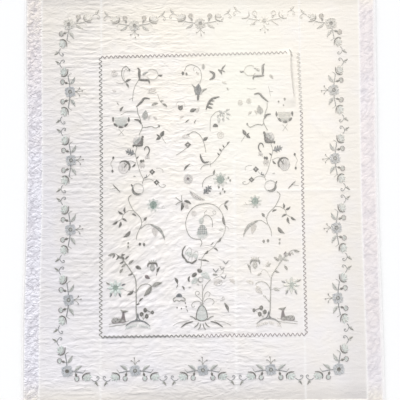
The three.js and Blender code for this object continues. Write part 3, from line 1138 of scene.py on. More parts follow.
# How far each flower of the vine strays, in order, on each side
VINE_STRAYS = {
    FOOT: (0, 0, 0, 0, -4),
    HEAD: (-5 - 5j, -11 + 15j, 0, -10j, 0),
    RIGHT: (0, 5.3, 8.6, 8.6, 5.3, 0),
    LEFT: (0, 5.3, 8.6, 8.6, 5.3, 0),
}

# Size of the vine's flowers along a side and at a corner, and of their sprays, which start a little inside
FLOWER_SIZE, CORNER_FLOWER_SIZE = 32, 33
SPRAY_SIZE, SPRAY_INSIDE = 43, 26


def vine_side(work, outward, half_side, off):
    """One side of the flowering vine: flowers, and between each two a pair of half repeats."""
    out = unit(outward)
    strays = VINE_STRAYS[outward]
    repeats = len(strays) - 1
    gap = 2 * half_side / repeats
    for k, stray in enumerate(strays):
        at = out * off - 1j * out * (half_side - k * gap) + stray
        for there, turn, over in ((k > 0, -90, False), (k < repeats, 90, True)):
            if there:
                half_repeat(work, Place(at, outward + turn, 1, over), gap / 2)
        if 0 < k < repeats:
            spray(work, Place(at - SPRAY_INSIDE * out, outward + 180, SPRAY_SIZE))
            flower(work, Place(at, outward, FLOWER_SIZE), centre=CHARCOAL if outward == HEAD else STONE)
        elif k == 0:
            flower(work, Place(at, outward, CORNER_FLOWER_SIZE), centre=CHARCOAL)


def zigzag(work, start, end, tooth, thread, width, reach):
    """A row of zigzag stitches."""
    count = round(abs(end - start) / tooth)
    way = (end - start) / abs(end - start)
    k = np.arange(2 * count + 1)
    line = start + (end - start) * k / (2 * count) + 1j * way * reach * np.where(k % 2, 1, -1)
    work.add(line[:-1], line[1:], width, thread)


# Rows of the zigzag frame: where each starts and ends, its thread, the width of its stitches, and how far
# they reach, below 0 where the teeth are turned about
FRAME_ROWS = (
    (-565 + 775j, 488 + 795j, MAUVE, 4.2, 9.0),
    (548 + 792j, 560 + 460j, LILAC, 5.0, 8.0),
    (553 + 796j, 566 + 460j, STONE, 4.0, 7.5),
    (565 + 460j, 569 - 777j, MAUVE, 3.8, 9.5),
    (569 - 777j, 0 - 780j, MAUVE, 3.7, 10.5),
    (0 - 780j, -560 - 783j, CHARCOAL, 4.9, 8.0),
    (-190 - 782j, -540 - 784j, SLATE, 3.0, -4.5),
    (-560 - 783j, -565 + 775j, CHARCOAL, 3.8, 11.0),
)

# Strokes painting the fold's shadow where the frame's upper right corner is turned: width, thread, then the
# places each passes
FOLD_SHADOW_STROKES = (
    (9.0, SAGE, 500 + 812j, 509 + 796j, 516 + 772j),
    (9.0, LILAC, 508 + 800j, 511 + 690j, 524 + 545j),
)

# Mirror between the side trees: its place across, and half of how much higher the right tree stands
MIRROR = 8 + 9j

# How far the right tree strays from its image, being worked by hand: height, then how far across and along
STRAY = ((-650, -9, -10), (-480, -2, -9), (-300, 4, -5), (-100, 12, 0),
         (130, 13, -8), (280, 14, -4), (430, 2, 8), (690, -12, 0))

# Stems of a side tree, worked on the left and again in a mirror on the right: width, then the places passed
SIDE_STEMS = (
    (5.6, -360 - 690j, -365 - 645j, -365 - 600j, -366 - 495j, -372 - 460j, -385 - 438j, -410 - 400j,
     -440 - 360j),
    (3.0, -440 - 360j, -465 - 338j, -490 - 326j, -516 - 334j),
    (4.2, -365 - 540j, -350 - 515j, -335 - 501j, -310 - 495j, -290 - 500j, -280 - 510j),
    (2.6, -365 - 612j, -350 - 595j, -338 - 582j),
    (2.4, -366 - 540j, -390 - 535j),
    (4.0, -365 - 250j, -360 - 220j, -340 - 180j, -335 - 160j, -340 - 135j, -355 - 115j, -380 - 90j,
     -400 - 55j, -410 - 20j, -392 - 3j),
    (3.2, -340 - 190j, -320 - 175j, -300 - 165j, -268 - 170j),
    (1.5, -240 - 74j, -222 - 78j, -204 - 76j),
    (1.5, -222 - 78j, -212 - 64j),
    (2.4, -380 - 90j, -405 - 90j, -425 - 100j, -440 - 115j, -446 - 135j, -465 - 147j, -482 - 156j),
    (2.2, -335 - 160j, -320 - 143j),
    (3.0, -332 + 60j, -325 + 86j, -340 + 115j, -358 + 175j, -370 + 228j, -360 + 265j),
    (2.4, -328 + 84j, -305 + 95j, -288 + 112j),
    (2.4, -325 + 78j, -300 + 86j, -284 + 84j, -264 + 72j),
    (2.4, -240 + 55j, -230 + 42j, -208 + 38j, -200 + 50j, -216 + 57j),
    (2.4, -366 + 175j, -395 + 187j, -415 + 185j),
    (2.2, -495 + 200j, -510 + 172j, -502 + 155j, -500 + 132j),
    (4.0, -348 + 335j, -330 + 375j, -335 + 398j, -346 + 435j, -356 + 458j, -358 + 488j),
    (2.0, -515 + 30j, -482 + 34j),
    (2.0, -252 + 145j, -235 + 146j, -216 + 136j, -215 + 120j),
    (2.0, -300 + 570j, -275 + 566j, -250 + 572j),
    (2.0, -434 + 330j, -465 + 368j),
    (2.0, -464 + 332j, -436 + 362j),
    (2.0, -452 - 515j, -420 - 532j, -388 - 536j),
)

# Thick strokes of a side tree, with the same columns
SIDE_BARS = (
    (16.0, -356 + 712j, -346 + 702j, -346 + 676j, -344 + 646j),
    (14.0, -350 + 645j, -320 + 643j, -294 + 641j, -288 + 624j),
    (14.0, -364 + 492j, -334 + 520j, -318 + 540j, -288 + 537j),
    (12.0, -338 + 396j, -350 + 415j, -374 + 420j),
    (7.0, -319 + 246j, -315 + 261j, -303 + 268j, -291 + 254j, -293 + 234j, -305 + 218j),
    (6.0, -497 + 55j, -478 + 36j, -457 + 14j),
)

# Motifs of a side tree: what it is, its root and its tip
SIDE_MOTIFS = (
    (mound, -356 - 698j, -356 - 560j),
    (deer, -500 - 704j, -424 - 702j),
    (berries, -332 - 688j, -330 - 628j),
    (star_flower, -480 - 516j, -480 - 459j),
    (leaf, -385 - 436j, -412 - 446j),
    (grey_leaf, -456 - 434j, -438 - 410j),
    (leaf, -398 - 203j, -438 - 238j),
    (pair, -345 - 276j, -321 - 279j),
    (grey_pair, -410 - 270j, -410 - 290j),
    (grey_leaf, -406 - 386j, -380 - 364j),
    (grey_leaf, -490 - 328j, -522 - 336j),
    (thistle, -275 - 418j, -275 - 366j),
    (leaf, -250 - 434j, -232 - 402j),
    (slim_leaf, -250 - 434j, -256 - 452j),
    (leaf, -440 - 110j, -468 - 90j),
    (leaf, -430 - 102j, -428 - 70j),
    (leaf, -446 - 135j, -418 - 150j),
    (leaf, -470 - 148j, -500 - 166j),
    (leaf, -452 - 150j, -464 - 186j),
    (leaf, -390 - 108j, -364 - 122j),
    (broad_leaf, -322 - 146j, -306 - 126j),
    (lilac_leaf, -274 - 186j, -256 - 238j),
    (arched_leaf, -284 - 170j, -206 - 254j),
    (round_flower, -269 - 60j, -269 - 24j),
    (bowl_flower, -356 + 30j, -324 + 30j),
    (leaf, -394 + 58j, -388 + 36j),
    (diamond, -275 + 125j, -275 + 142j),
    (diamond, -250 + 66j, -250 + 83j),
    (fork, -305 + 95j, -318 + 106j),
    (shaded_flower, -434 + 154j, -400 + 154j),
    (seed, -495 + 205j, -495 + 212j),
    (seed, -500 + 130j, -500 + 137j),
    (seed, -337 + 185j, -337 + 193j),
    (seed, -325 + 187j, -325 + 194j),
    (lilac_leaf, -345 + 178j, -338 + 142j),
    (lilac_leaf, -329 + 180j, -326 + 144j),
    (lilac_leaf, -318 + 210j, -286 + 200j),
    (oak_leaf, -370 + 226j, -428 + 246j),
    (leaf, -370 + 172j, -390 + 152j),
    (leaf, -364 + 198j, -350 + 212j),
    (lilac_leaf, -296 + 230j, -316 + 194j),
    (stone_leaf, -382 + 104j, -366 + 99j),
    (seed_head, -334 + 275j, -380 + 324j),
    (cup_flower, -451 + 374j, -451 + 434j),
    (stone_leaf, -319 + 418j, -309 + 474j),
    (lilac_leaf, -296 + 420j, -284 + 446j),
    (lilac_leaf, -268 + 436j, -246 + 414j),
    (scroll_flower, -226 + 668j, -322 + 684j),
    (stone_leaf, -328 + 672j, -304 + 690j),
    (slim_leaf, -232 + 668j, -214 + 672j),
)

# What the left tree alone has, with the same columns
LEFT_STEMS = (
    (4.0, -402 + 703j, -420 + 724j, -440 + 708j, -446 + 675j, -436 + 645j, -424 + 634j),
    (2.0, -424 + 634j, -446 + 624j, -476 + 630j),
    (1.8, -410 + 694j, -422 + 706j, -432 + 690j, -434 + 664j, -428 + 646j),
    (2.0, -452 + 445j, -420 + 464j, -362 + 464j),
    (3.2, -385 + 525j, -380 + 575j, -370 + 610j, -346 + 650j),
    (2.2, -385 + 540j, -405 + 532j),
    (4.2, -330 + 375j, -305 + 376j, -280 + 381j, -255 + 371j, -238 + 380j),
    (2.4, -222 + 324j, -212 + 305j, -198 + 285j),
    (2.2, -242 + 562j, -236 + 540j, -224 + 516j, -196 + 496j),
)
LEFT_MOTIFS = (
    (leaf, -348 - 592j, -326 - 572j),
    (leaf, -364 - 610j, -342 - 604j),
    (broad_leaf, -369 - 398j, -336 - 414j),
    (mauve_leaf, -318 - 448j, -288 - 467j),
    (leaf, -380 - 530j, -418 - 556j),
    (broad_leaf, -444 - 344j, -432 - 366j),
    (broad_leaf, -226 + 322j, -208 + 356j),
    (broad_leaf, -226 + 322j, -252 + 304j),
    (leaf, -230 + 324j, -250 + 338j),
    (seed, -235 + 381j, -235 + 387j),
    (leaf, -426 + 630j, -392 + 648j),
    (grey_leaf, -420 + 626j, -406 + 602j),
    (grey_seed, -402 + 702j, -402 + 709j),
    (pale_round, -486 + 684j, -470 + 684j),
    (lilac_leaf, -476 + 580j, -500 + 592j),
    (grey_leaf, -280 - 510j, -322 - 562j),
    (grey_leaf, -276 - 510j, -222 - 488j),
    (leaf, -426 - 360j, -404 - 342j),
    (leaf, -440 - 354j, -443 - 326j),
    (leaf, -444 - 352j, -472 - 336j),
    (leaf, -434 - 368j, -458 - 382j),
    (leaf, -462 - 340j, -478 - 362j),
    (grey_leaf, -216 + 508j, -190 + 492j),
    (grey_leaf, -228 + 522j, -210 + 526j),
    (lilac_leaf, -296 + 576j, -248 + 590j),
    (grey_leaf, -276 + 500j, -240 + 512j),
    (slim_leaf, -474 + 518j, -464 + 500j),
    (leaf, -456 + 466j, -436 + 494j),
    (leaf, -486 - 330j, -498 - 352j),
    (leaf, -452 - 344j, -426 - 332j),
    (grey_leaf, -424 - 384j, -448 - 402j),
)

# What the right tree alone has, with the same columns, as if it stood on the left
RIGHT_STEMS = (
    (2.0, -306 - 452j, -322 - 430j, -346 - 446j, -362 - 476j),
    (2.4, -379 + 524j, -376 + 556j, -371 + 582j),
    (2.0, -375 + 552j, -394 + 552j),
    (4.2, -330 + 374j, -322 + 361j, -307 + 365j, -287 + 365j, -267 + 356j, -250 + 351j, -238 + 364j),
    (2.4, -222 + 310j, -208 + 292j, -194 + 276j),
)
RIGHT_MOTIFS = (
    (stone_leaf, -340 - 580j, -322 - 568j),
    (stone_leaf, -364 - 602j, -346 - 594j),
    (stone_leaf, -334 - 414j, -366 - 396j),
    (lilac_leaf, -340 - 408j, -348 - 384j),
    (stone_leaf, -312 - 448j, -288 - 464j),
    (stone_leaf, -380 - 530j, -416 - 546j),
    (broad_leaf, -224 + 309j, -208 + 340j),
    (broad_leaf, -224 + 310j, -248 + 294j),
    (leaf, -228 + 312j, -244 + 322j),
    (grey_seed, -237 + 367j, -237 + 373j),
    (stone_leaf, -384 + 652j, -402 + 626j),
    (pale_round, -206 + 489j, -193 + 489j),
    (pale_round, -255 + 498j, -242 + 498j),
    (grey_seed, -458 + 506j, -458 + 513j),
    (grey_seed, -423 + 492j, -423 + 498j),
    (grey_seed, -450 + 471j, -450 + 475j),
    (lilac_leaf, -286 - 518j, -322 - 562j),
    (lilac_leaf, -270 - 506j, -226 - 494j),
    (stone_leaf, -420 - 386j, -412 - 346j),
    (mauve_leaf, -440 - 362j, -446 - 334j),
    (stone_leaf, -436 - 362j, -468 - 342j),
    (stone_leaf, -430 - 374j, -464 - 384j),
    (mauve_leaf, -462 - 340j, -474 - 360j),
    (stone_leaf, -476 - 336j, -490 - 354j),
)

# Stems of the middle tree, with the same columns
MIDDLE_STEMS = (
    (3.6, 0 - 615j, 0 - 600j, 1 - 545j, 10 - 520j, 25 - 495j, 46 - 474j),
    (2.6, 0 - 532j, 0 - 500j),
    (2.6, -2 - 592j, -15 - 575j, -35 - 560j, -39 - 545j, -26 - 536j, -15 - 548j, -25 - 556j),
    (2.6, 3 - 590j, 10 - 565j, 18 - 547j, 31 - 540j, 44 - 553j, 34 - 565j),
    (2.8, -4 - 602j, -25 - 591j, -48 - 596j, -60 - 612j, -54 - 626j, -42 - 618j),
    (2.8, 6 - 596j, 30 - 577j, 54 - 581j, 65 - 598j, 54 - 610j),
    (3.0, -14 - 420j, -5 - 395j, -4 - 365j, 14 - 336j, 38 - 316j, 62 - 298j, 86 - 264j),
    (3.6, 86 - 264j, 110 - 243j, 125 - 213j, 130 - 175j, 121 - 130j, 98 - 85j, 66 - 61j, 34 - 54j, -5 - 58j,
     -40 - 71j, -70 - 101j, -86 - 140j, -90 - 172j, -81 - 210j, -64 - 238j, -36 - 250j, -10 - 252j, 0 - 274j,
     -10 - 290j),
    (3.6, 8 - 130j, 14 - 121j, 30 - 117j, 49 - 131j, 58 - 152j, 58 - 184j),
    (2.2, 28 - 93j, 17 - 101j, 15 - 112j, 20 - 119j),
    (2.4, 96 - 78j, 115 - 56j, 130 - 60j),
    (2.2, 129 - 180j, 142 - 184j, 150 - 198j),
    (3.4, 5 + 38j, 10 + 70j, 36 + 95j, 70 + 106j),
    (3.0, -6 + 138j, 15 + 160j, 50 + 166j, 66 + 176j, 100 + 214j, 116 + 242j, 150 + 280j),
    (2.2, 48 + 182j, 52 + 150j),
    (3.2, -70 + 335j, -40 + 350j, -10 + 332j, 10 + 300j, 20 + 265j, 25 + 232j),
    (2.8, -76 + 262j, -105 + 240j, -140 + 218j),
    (2.8, 50 + 352j, 51 + 390j, 56 + 428j, 80 + 456j, 106 + 466j),
    (3.4, -6 + 622j, 5 + 660j, -4 + 700j, -25 + 720j, -55 + 730j, -80 + 719j, -91 + 694j),
    (2.0, -30 + 716j, -42 + 704j, -36 + 692j),
    (2.0, 112 - 412j, 118 - 430j, 92 - 456j, 62 - 470j),
    (1.6, -96 - 346j, -88 - 316j, -68 - 298j, -58 - 320j, -78 - 368j),
    (1.6, -58 - 372j, -48 - 330j, -28 - 318j, -22 - 340j, -34 - 360j),
    (4.0, -108 - 42j, -126 - 34j, -144 - 17j),
    (4.0, -110 - 44j, -126 - 46j, -144 - 58j),
    (3.4, -108 - 40j, -112 - 24j, -110 - 6j),
)

# Thick strokes of the middle tree, with the same columns
MIDDLE_BARS = (
    (13.0, -6 + 222j, -1 + 200j, 15 + 176j, 42 + 180j),
    (16.0, 50 + 692j, 73 + 678j, 72 + 656j, 50 + 644j),
    (8.0, -92 - 288j, -106 - 310j, -110 - 334j),
    (12.0, -111 - 326j, -104 - 348j, -90 - 360j),
    (12.0, -94 - 356j, -84 - 374j, -66 - 378j),
    (12.0, -72 - 376j, -55 - 382j, -30 - 364j),
    (24.0, -25 - 418j, -13 - 426j, -1 - 424j),
    (24.0, -32 - 438j, -44 - 448j, -56 - 456j),
    (12.0, -70 - 456j, -76 - 470j, -72 - 484j),
)

# Motifs of the middle tree, with the same columns
MIDDLE_MOTIFS = (
    (bulb, -4 - 697j, -4 - 616j),
    (slim_leaf, 120 - 600j, 144 - 654j),
    (leaf, 124 - 610j, 142 - 650j),
    (curl, 98 - 590j, 124 - 586j),
    (slim_leaf, -4 - 366j, 40 - 376j),
    (slim_leaf, -4 - 364j, -24 - 361j),
    (bowl_flower, -10 - 474j, 4 - 474j),
    (pale_leaf, -6 - 440j, 44 - 472j),
    (pale_leaf, -30 - 462j, -62 - 496j),
    (stone_leaf, -32 - 496j, -16 - 502j),
    (stone_leaf, -78 - 515j, -62 - 515j),
    (fork, 75 - 434j, 75 - 406j),
    (fork, 130 - 390j, 130 - 364j),
    (fork, 122 - 470j, 116 - 444j),
    (fork, 108 - 420j, 112 - 398j),
    (grey_leaf, 58 - 446j, 84 - 450j),
    (lilac_leaf, 62 - 500j, 112 - 474j),
    (curl, 74 - 505j, 112 - 505j),
    (leaf, -152 - 462j, -136 - 500j),
    (slim_leaf, -136 - 500j, -144 - 520j),
    (leaf, -110 - 508j, -100 - 532j),
    (dome, -128 - 545j, -128 - 600j),
    (seed, -94 - 602j, -94 - 598j),
    (seed, -90 - 621j, -90 - 617j),
    (seed, -140 - 626j, -140 - 622j),
    (seed, -116 - 631j, -116 - 627j),
    (slim_leaf, -88 - 634j, -82 - 650j),
    (slim_leaf, 128 - 176j, 117 - 120j),
    (leaf, 106 - 244j, 84 - 270j),
    (slim_leaf, 64 - 268j, 46 - 284j),
    (leaf, 34 - 314j, 12 - 334j),
    (leaf, 66 - 300j, 88 - 318j),
    (pale_leaf, 94 - 200j, 122 - 195j),
    (lattice_flower, 2 - 224j, 2 - 187j),
    (pale_leaf, -6 - 168j, 8 - 126j),
    (curl, 52 - 122j, 84 - 112j),
    (pale_round, -44 - 106j, -31 - 106j),
    (leaf, -99 - 38j, -58 - 56j),
    (leaf, -108 - 46j, -116 - 94j),
    (lilac_leaf, -106 - 48j, -74 - 84j),
    (leaf, 126 - 60j, 152 - 38j),
    (leaf, 126 - 62j, 143 - 92j),
    (feather, -66 + 17j, 18 - 33j),
    (oak_leaf, 10 - 2j, 56 + 46j),
    (round_flower, 106 + 80j, 106 + 119j),
    (grey_pair, 150 + 90j, 160 + 74j),
    (grey_pair, 104 + 2j, 128 + 12j),
    (grey_pair, 96 + 36j, 118 + 26j),
    (grey_leaf, 68 + 106j, 74 + 134j),
    (disc_flower, -75 + 85j, -48 + 85j),
    (slim_leaf, -98 + 132j, -62 + 169j),
    (broad_leaf, 102 + 216j, 90 + 228j),
    (broad_leaf, 112 + 238j, 100 + 252j),
    (leaf, 130 + 258j, 120 + 276j),
    (leaf, 144 + 274j, 160 + 292j),
    (leaf, -64 + 336j, -86 + 334j),
    (broad_leaf, 10 + 300j, 38 + 317j),
    (lilac_leaf, -108 + 318j, -62 + 326j),
    (diamond, -75 + 276j, -75 + 295j),
    (half_moon, 80 + 376j, 80 + 392j),
    (pale_round, 108 + 330j, 126 + 330j),
    (fringe_flower, 104 + 466j, 160 + 412j),
    (fern, 28 + 472j, 104 + 546j),
    (broad_leaf, -62 + 463j, -26 + 478j),
    (lilac_leaf, -24 + 456j, -8 + 488j),
    (heart, -115 + 470j, -115 + 522j),
    (lily, -17 + 525j, -9 + 624j),
    (seed, -100 + 680j, -100 + 689j),
    (seed, -80 + 675j, -80 + 682j),
    (stone_leaf, 15 + 702j, 15 + 736j),
    (leaf, 98 + 702j, 120 + 670j),
    (slim_leaf, 116 + 692j, 142 + 728j),
    (leaf, 120 + 694j, 138 + 684j),
    (lilac_leaf, 118 + 630j, 146 + 618j),
    (grey_leaf, 146 + 596j, 154 + 582j),
    (lilac_leaf, -26 + 690j, -12 + 668j),
    (slim_leaf, -88 + 400j, -64 + 418j),
    (pale_leaf, -88 - 324j, -50 - 352j),
    (pale_leaf, -48 - 328j, -28 - 362j),
    (slim_leaf, -38 + 394j, -28 + 416j),
    (lilac_leaf, -120 + 425j, -92 + 440j),
    (lilac_leaf, 150 - 470j, 180 - 500j),
)


def grown(work, draw, root, tip):
    """Draws a motif from its root to its tip."""
    way = tip - root
    draw(work, Place(root, math.degrees(math.atan2(way.imag, way.real)), abs(way)))


def work_tree(work, stems, bars, motifs):
    """Works a tree's stems and thick strokes, then its motifs."""
    for width, *places in stems:
        work.stem(places, SAGE, width)
    for width, *places in bars:
        work.bar(places, width)
    for draw, root, tip in motifs:
        grown(work, draw, root, tip)


# Materials

# Roughness and sheen of cloth and of thread, and what they share
CLOTH_ROUGHNESS, CLOTH_SHEEN = 0.92, 0.1
THREAD_ROUGHNESS, THREAD_SHEEN = 0.6, 0.15
SHINE = 0.15
SHEEN_ROUGHNESS = 0.6

# Colours of age, of a painted pool of warm light, of painted shade, of crests paler from wear and painted
# highlight, and of fading
AGED_COLOUR = (0.90, 0.84, 0.72, 1)
PAINTED_LIGHT_POOL_COLOUR = (0.928, 0.915, 0.825, 1)
PAINTED_FALLOFF_COLOUR = (0.55, 0.53, 0.545, 1)
WEAR_AND_HIGHLIGHT_COLOUR = (0.96, 0.95, 0.94, 1)
FADED_COLOUR = (0.88, 0.845, 0.78, 1)

# Each kind of cotton: colour of its painted shade along sewn lines and creases, grain of its crumples across
# and along, their depth in metres and their slant, how strongly that shade is painted, and how pale its
# crests are made from wear and painted highlight
FIELD_COTTON = ((0.52, 0.50, 0.50), (19, 42), 0.0012, SLANT, 0.3, 0.5)
BAND_COTTON = ((0.46, 0.44, 0.49), (62, 70), 0.0016, BAND_SLANT, 0.5, 0.6)
BINDING_COTTON = ((0.6, 0.58, 0.57), (40, 40), 0.0006, 0.0, 0.3, 0.5)

# Clouds that vary the painted light cast in the cotton at random: scale, detail, strength, and what is taken
# off to keep the mean
CLOUD_SCALE, CLOUD_DETAIL = 6.0, 3.0
CLOUD_STRENGTH, CLOUD_MEAN = 1.3, 0.65

# Weave of the cotton: threads in a metre, and how far they stand out in metres
THREADS_PER_METRE = 1400
WEAVE_DEPTH = 0.0001

# Broad crumples of the cotton, against the fine ones: scale and depth
BROAD_SCALE, BROAD_DEPTH = 0.45, 1.6

# Dye of a thread: scale of its lighter stretches, and how light they are
DYE_SCALE = 60.0
DYE_LIGHTER, DYE_ADDED = 1.5, 0.01

# Wear of a thread: scale, strength, and how far dark threads fade and pale ones more
WEAR_SCALE, WEAR_STRENGTH = 110.0, 0.9
DARK_FADES, PALE_FADES = 0.35, 2.4

# Twist of a thread: scale, detail, strength, and depth in metres
TWIST_SCALE, TWIST_DETAIL = 1800.0, 1.0
TWIST_STRENGTH, TWIST_DEPTH = 0.4, 0.0003

# Places of the colour sockets in a mix node
COLOUR_A, COLOUR_B, COLOUR_MIXED = 6, 7, 2


def add_node(nodes, kind, **settings):
    """A new node with its settings."""
    made = nodes.new(kind)
    for name, value in settings.items():
        setattr(made, name, value)
    return made


def feed(links, socket, value):
    """Links an output to a socket, or sets the socket's own value."""
    if isinstance(value, bpy.types.NodeSocket):
        links.new(value, socket)
    else:
        socket.default_value = value


def maths(tree, operation, *values):
    """The result of an operation on values or outputs."""
    made = add_node(tree.nodes, "ShaderNodeMath", operation=operation)
    for socket, value in zip(made.inputs, values):
        feed(tree.links, socket, value)
    return made.outputs[0]


def mixed(tree, share, one, other):
    """Two colours mixed by a share."""
    made = add_node(tree.nodes, "ShaderNodeMix", data_type="RGBA")
    for socket, value in (("Factor", share), (COLOUR_A, one), (COLOUR_B, other)):
        feed(tree.links, made.inputs[socket], value)
    return made.outputs[COLOUR_MIXED]


def noise(tree, place, scale, detail=2.0):
    """Smooth noise at a scale."""
    made = add_node(tree.nodes, "ShaderNodeTexNoise")
    for socket, value in (("Vector", place), ("Scale", scale), ("Detail", detail)):
        feed(tree.links, made.inputs[socket], value)
    return made.outputs["Fac"]


def mark(tree, name):
    """A value that the mesh carries at its points."""
    return add_node(tree.nodes, "ShaderNodeAttribute", attribute_name=name).outputs["Fac"]


def start_group(name, *sockets):
    """A node group with named inputs that gives a height. Returns it, its inputs and that output."""
    group = bpy.data.node_groups.new(name, "ShaderNodeTree")
    for socket, kind in sockets:
        group.interface.new_socket(socket, in_out="INPUT", socket_type="NodeSocket" + kind)
    group.interface.new_socket("Height", in_out="OUTPUT", socket_type="NodeSocketFloat")
    given = group.nodes.new("NodeGroupInput").outputs
    height = group.nodes.new("NodeGroupOutput").inputs["Height"]
    return group, given, height


def weave_group():
    """Height of a plain weave: threads that pass over and under each other by turns."""
    group, given, height = start_group("Plain weave", ("Place", "Vector"), ("Threads per metre", "Float"))
    split = add_node(group.nodes, "ShaderNodeSeparateXYZ")
    group.links.new(given["Place"], split.inputs[0])
    waves = []
    for axis in ("X", "Y"):
        turns = maths(group, "MULTIPLY", split.outputs[axis], given["Threads per metre"])
        waves.append(maths(group, "SINE", maths(group, "MULTIPLY", turns, math.pi)))
    warp, weft = (maths(group, "ABSOLUTE", wave) for wave in waves)
    over = maths(group, "GREATER_THAN", maths(group, "MULTIPLY", *waves), 0.0)
    swap = maths(group, "SUBTRACT", weft, warp)
    group.links.new(maths(group, "MULTIPLY_ADD", swap, over, warp), height)
    return group


def crumple_group():
    """Height of crumpled cloth: winding creases with a grain, turned where it slants."""
    group, given, height = start_group("Crumple", ("Place", "Vector"), ("Grain", "Vector"),
                                       ("Slant", "Float"), ("Slant share", "Float"))
    turned = add_node(group.nodes, "ShaderNodeVectorRotate", rotation_type="Z_AXIS")
    group.links.new(given["Place"], turned.inputs["Vector"])
    group.links.new(maths(group, "MULTIPLY", given["Slant"], -1.0), turned.inputs["Angle"])
    heights = []
    for place in (given["Place"], turned.outputs["Vector"]):
        sized = add_node(group.nodes, "ShaderNodeVectorMath", operation="MULTIPLY")
        group.links.new(place, sized.inputs[0])
        group.links.new(given["Grain"], sized.inputs[1])
        lines = add_node(group.nodes, "ShaderNodeTexNoise")
        group.links.new(sized.outputs["Vector"], lines.inputs["Vector"])
        for socket, value in (("Scale", 1.0), ("Detail", 1.5), ("Roughness", 0.45), ("Distortion", 0.9)):
            lines.inputs[socket].default_value = value
        off = maths(group, "ABSOLUTE", maths(group, "SUBTRACT", lines.outputs["Fac"], 0.5))
        rise = add_node(group.nodes, "ShaderNodeMapRange", interpolation_type="SMOOTHSTEP")
        rise.inputs["From Max"].default_value = 0.22
        group.links.new(off, rise.inputs["Value"])
        heights.append(rise.outputs["Result"])
    level, slanting = heights
    swap = maths(group, "SUBTRACT", slanting, level)
    group.links.new(maths(group, "MULTIPLY_ADD", swap, given["Slant share"], level), height)
    return group


def placed_group(tree, make, name, place, **values):
    """Height from a node group, made once and placed in a material with its values set or linked."""
    group = bpy.data.node_groups.get(name) or make()
    made = add_node(tree.nodes, "ShaderNodeGroup", node_tree=group)
    tree.links.new(place, made.inputs["Place"])
    for socket, value in values.items():
        feed(tree.links, made.inputs[socket.replace("_", " ").capitalize()], value)
    return made.outputs["Height"]


def start_material(name, roughness, sheen):
    """A material with its plain values set, and the object's own coordinates."""
    material = bpy.data.materials.new(name)
    material.use_nodes = True
    tree = material.node_tree
    shader = tree.nodes["Principled BSDF"]
    for socket, value in (("Roughness", roughness), ("Specular IOR Level", SHINE), ("Sheen Weight", sheen),
                          ("Sheen Roughness", SHEEN_ROUGHNESS)):
        shader.inputs[socket].default_value = value
    place = add_node(tree.nodes, "ShaderNodeTexCoord").outputs["Object"]
    return material, tree, shader, place


def add_bump(tree, shader, height, strength, depth):
    """Gives a material fine relief."""
    bump = add_node(tree.nodes, "ShaderNodeBump")
    for socket, value in (("Strength", strength), ("Distance", depth), ("Height", height)):
        feed(tree.links, bump.inputs[socket], value)
    tree.links.new(bump.outputs["Normal"], shader.inputs["Normal"])


def cotton(name, cool, warm, painted_shade_colour, grain, depth, slant, painted_shade_share, worn):
    """Washed cotton in plain weave: from cool to warm in a painted light cast, yellower where aged, lighter
    in a painted pool of warm light, greyer in painted shade for the light's falloff, darker along its sewn
    lines in painted shade, paler on its crests from wear and painted highlight, and crumpled."""
    material, tree, shader, place = start_material(name, CLOTH_ROUGHNESS, CLOTH_SHEEN)
    # Cool to warm is a painted light cast, varied at random by clouds
    clouds = noise(tree, place, CLOUD_SCALE, CLOUD_DETAIL)
    painted_warmth = maths(tree, "SUBTRACT", mark(tree, "warm"), CLOUD_MEAN)
    cast = maths(tree, "MULTIPLY_ADD", clouds, CLOUD_STRENGTH, painted_warmth)
    cast.node.use_clamp = True
    base = mixed(tree, cast, (*cool, 1), (*warm, 1))
    # Aged is real yellowing; the pool of warm light and the greying are painted light and painted shade
    for change, colour in (("aged", AGED_COLOUR), ("cream", PAINTED_LIGHT_POOL_COLOUR), ("soiled", PAINTED_FALLOFF_COLOUR)):
        base = mixed(tree, mark(tree, change), base, colour)
    # Sewn lines and band creases are darkened in painted shade; crests are paler from wear and painted
    # highlight
    for change, share, colour in (("sewn", painted_shade_share, (*painted_shade_colour, 1)), ("crest", worn, WEAR_AND_HIGHLIGHT_COLOUR)):
        base = mixed(tree, maths(tree, "MULTIPLY", mark(tree, change), share), base, colour)
    tree.links.new(base, shader.inputs["Base Color"])
    weave = placed_group(tree, weave_group, "Plain weave", place, threads_per_metre=THREADS_PER_METRE)
    fine, broad = (placed_group(tree, crumple_group, "Crumple", place, slant_share=mark(tree, "slack"),
                                slant=slant, grain=(scale * grain[0], scale * grain[1], 1))
                   for scale in (1.0, BROAD_SCALE))
    folds = maths(tree, "MULTIPLY", maths(tree, "MULTIPLY_ADD", broad, BROAD_DEPTH, fine), mark(tree, "calm"))
    add_bump(tree, shader, maths(tree, "MULTIPLY_ADD", weave, WEAVE_DEPTH / depth, folds), 1.0, depth)
    return material


def thread_material(name, colour):
    """Twisted cotton thread, unevenly worn, and paler where it has faded. Pale threads fade the most."""
    material, tree, shader, place = start_material("thread_" + name, THREAD_ROUGHNESS, THREAD_SHEEN)
    light = [min(1.0, DYE_LIGHTER * c + DYE_ADDED) for c in colour]
    base = mixed(tree, noise(tree, place, DYE_SCALE), (*colour, 1), (*light, 1))
    faded = maths(tree, "MULTIPLY_ADD", noise(tree, place, WEAR_SCALE), WEAR_STRENGTH, mark(tree, "faded"))
    faded = maths(tree, "MULTIPLY", faded, DARK_FADES + PALE_FADES * sum(colour) / len(colour))
    faded.node.use_clamp = True
    tree.links.new(mixed(tree, faded, base, FADED_COLOUR), shader.inputs["Base Color"])
    add_bump(tree, shader, noise(tree, place, TWIST_SCALE, TWIST_DETAIL), TWIST_STRENGTH, TWIST_DEPTH)
    return material


def thread_materials(colours):
    """The thread materials in the order of their slots, made once."""
    return [bpy.data.materials.get("thread_" + name) or thread_material(name, getattr(colours, name))
            for name in THREAD_NAMES]


# Operators

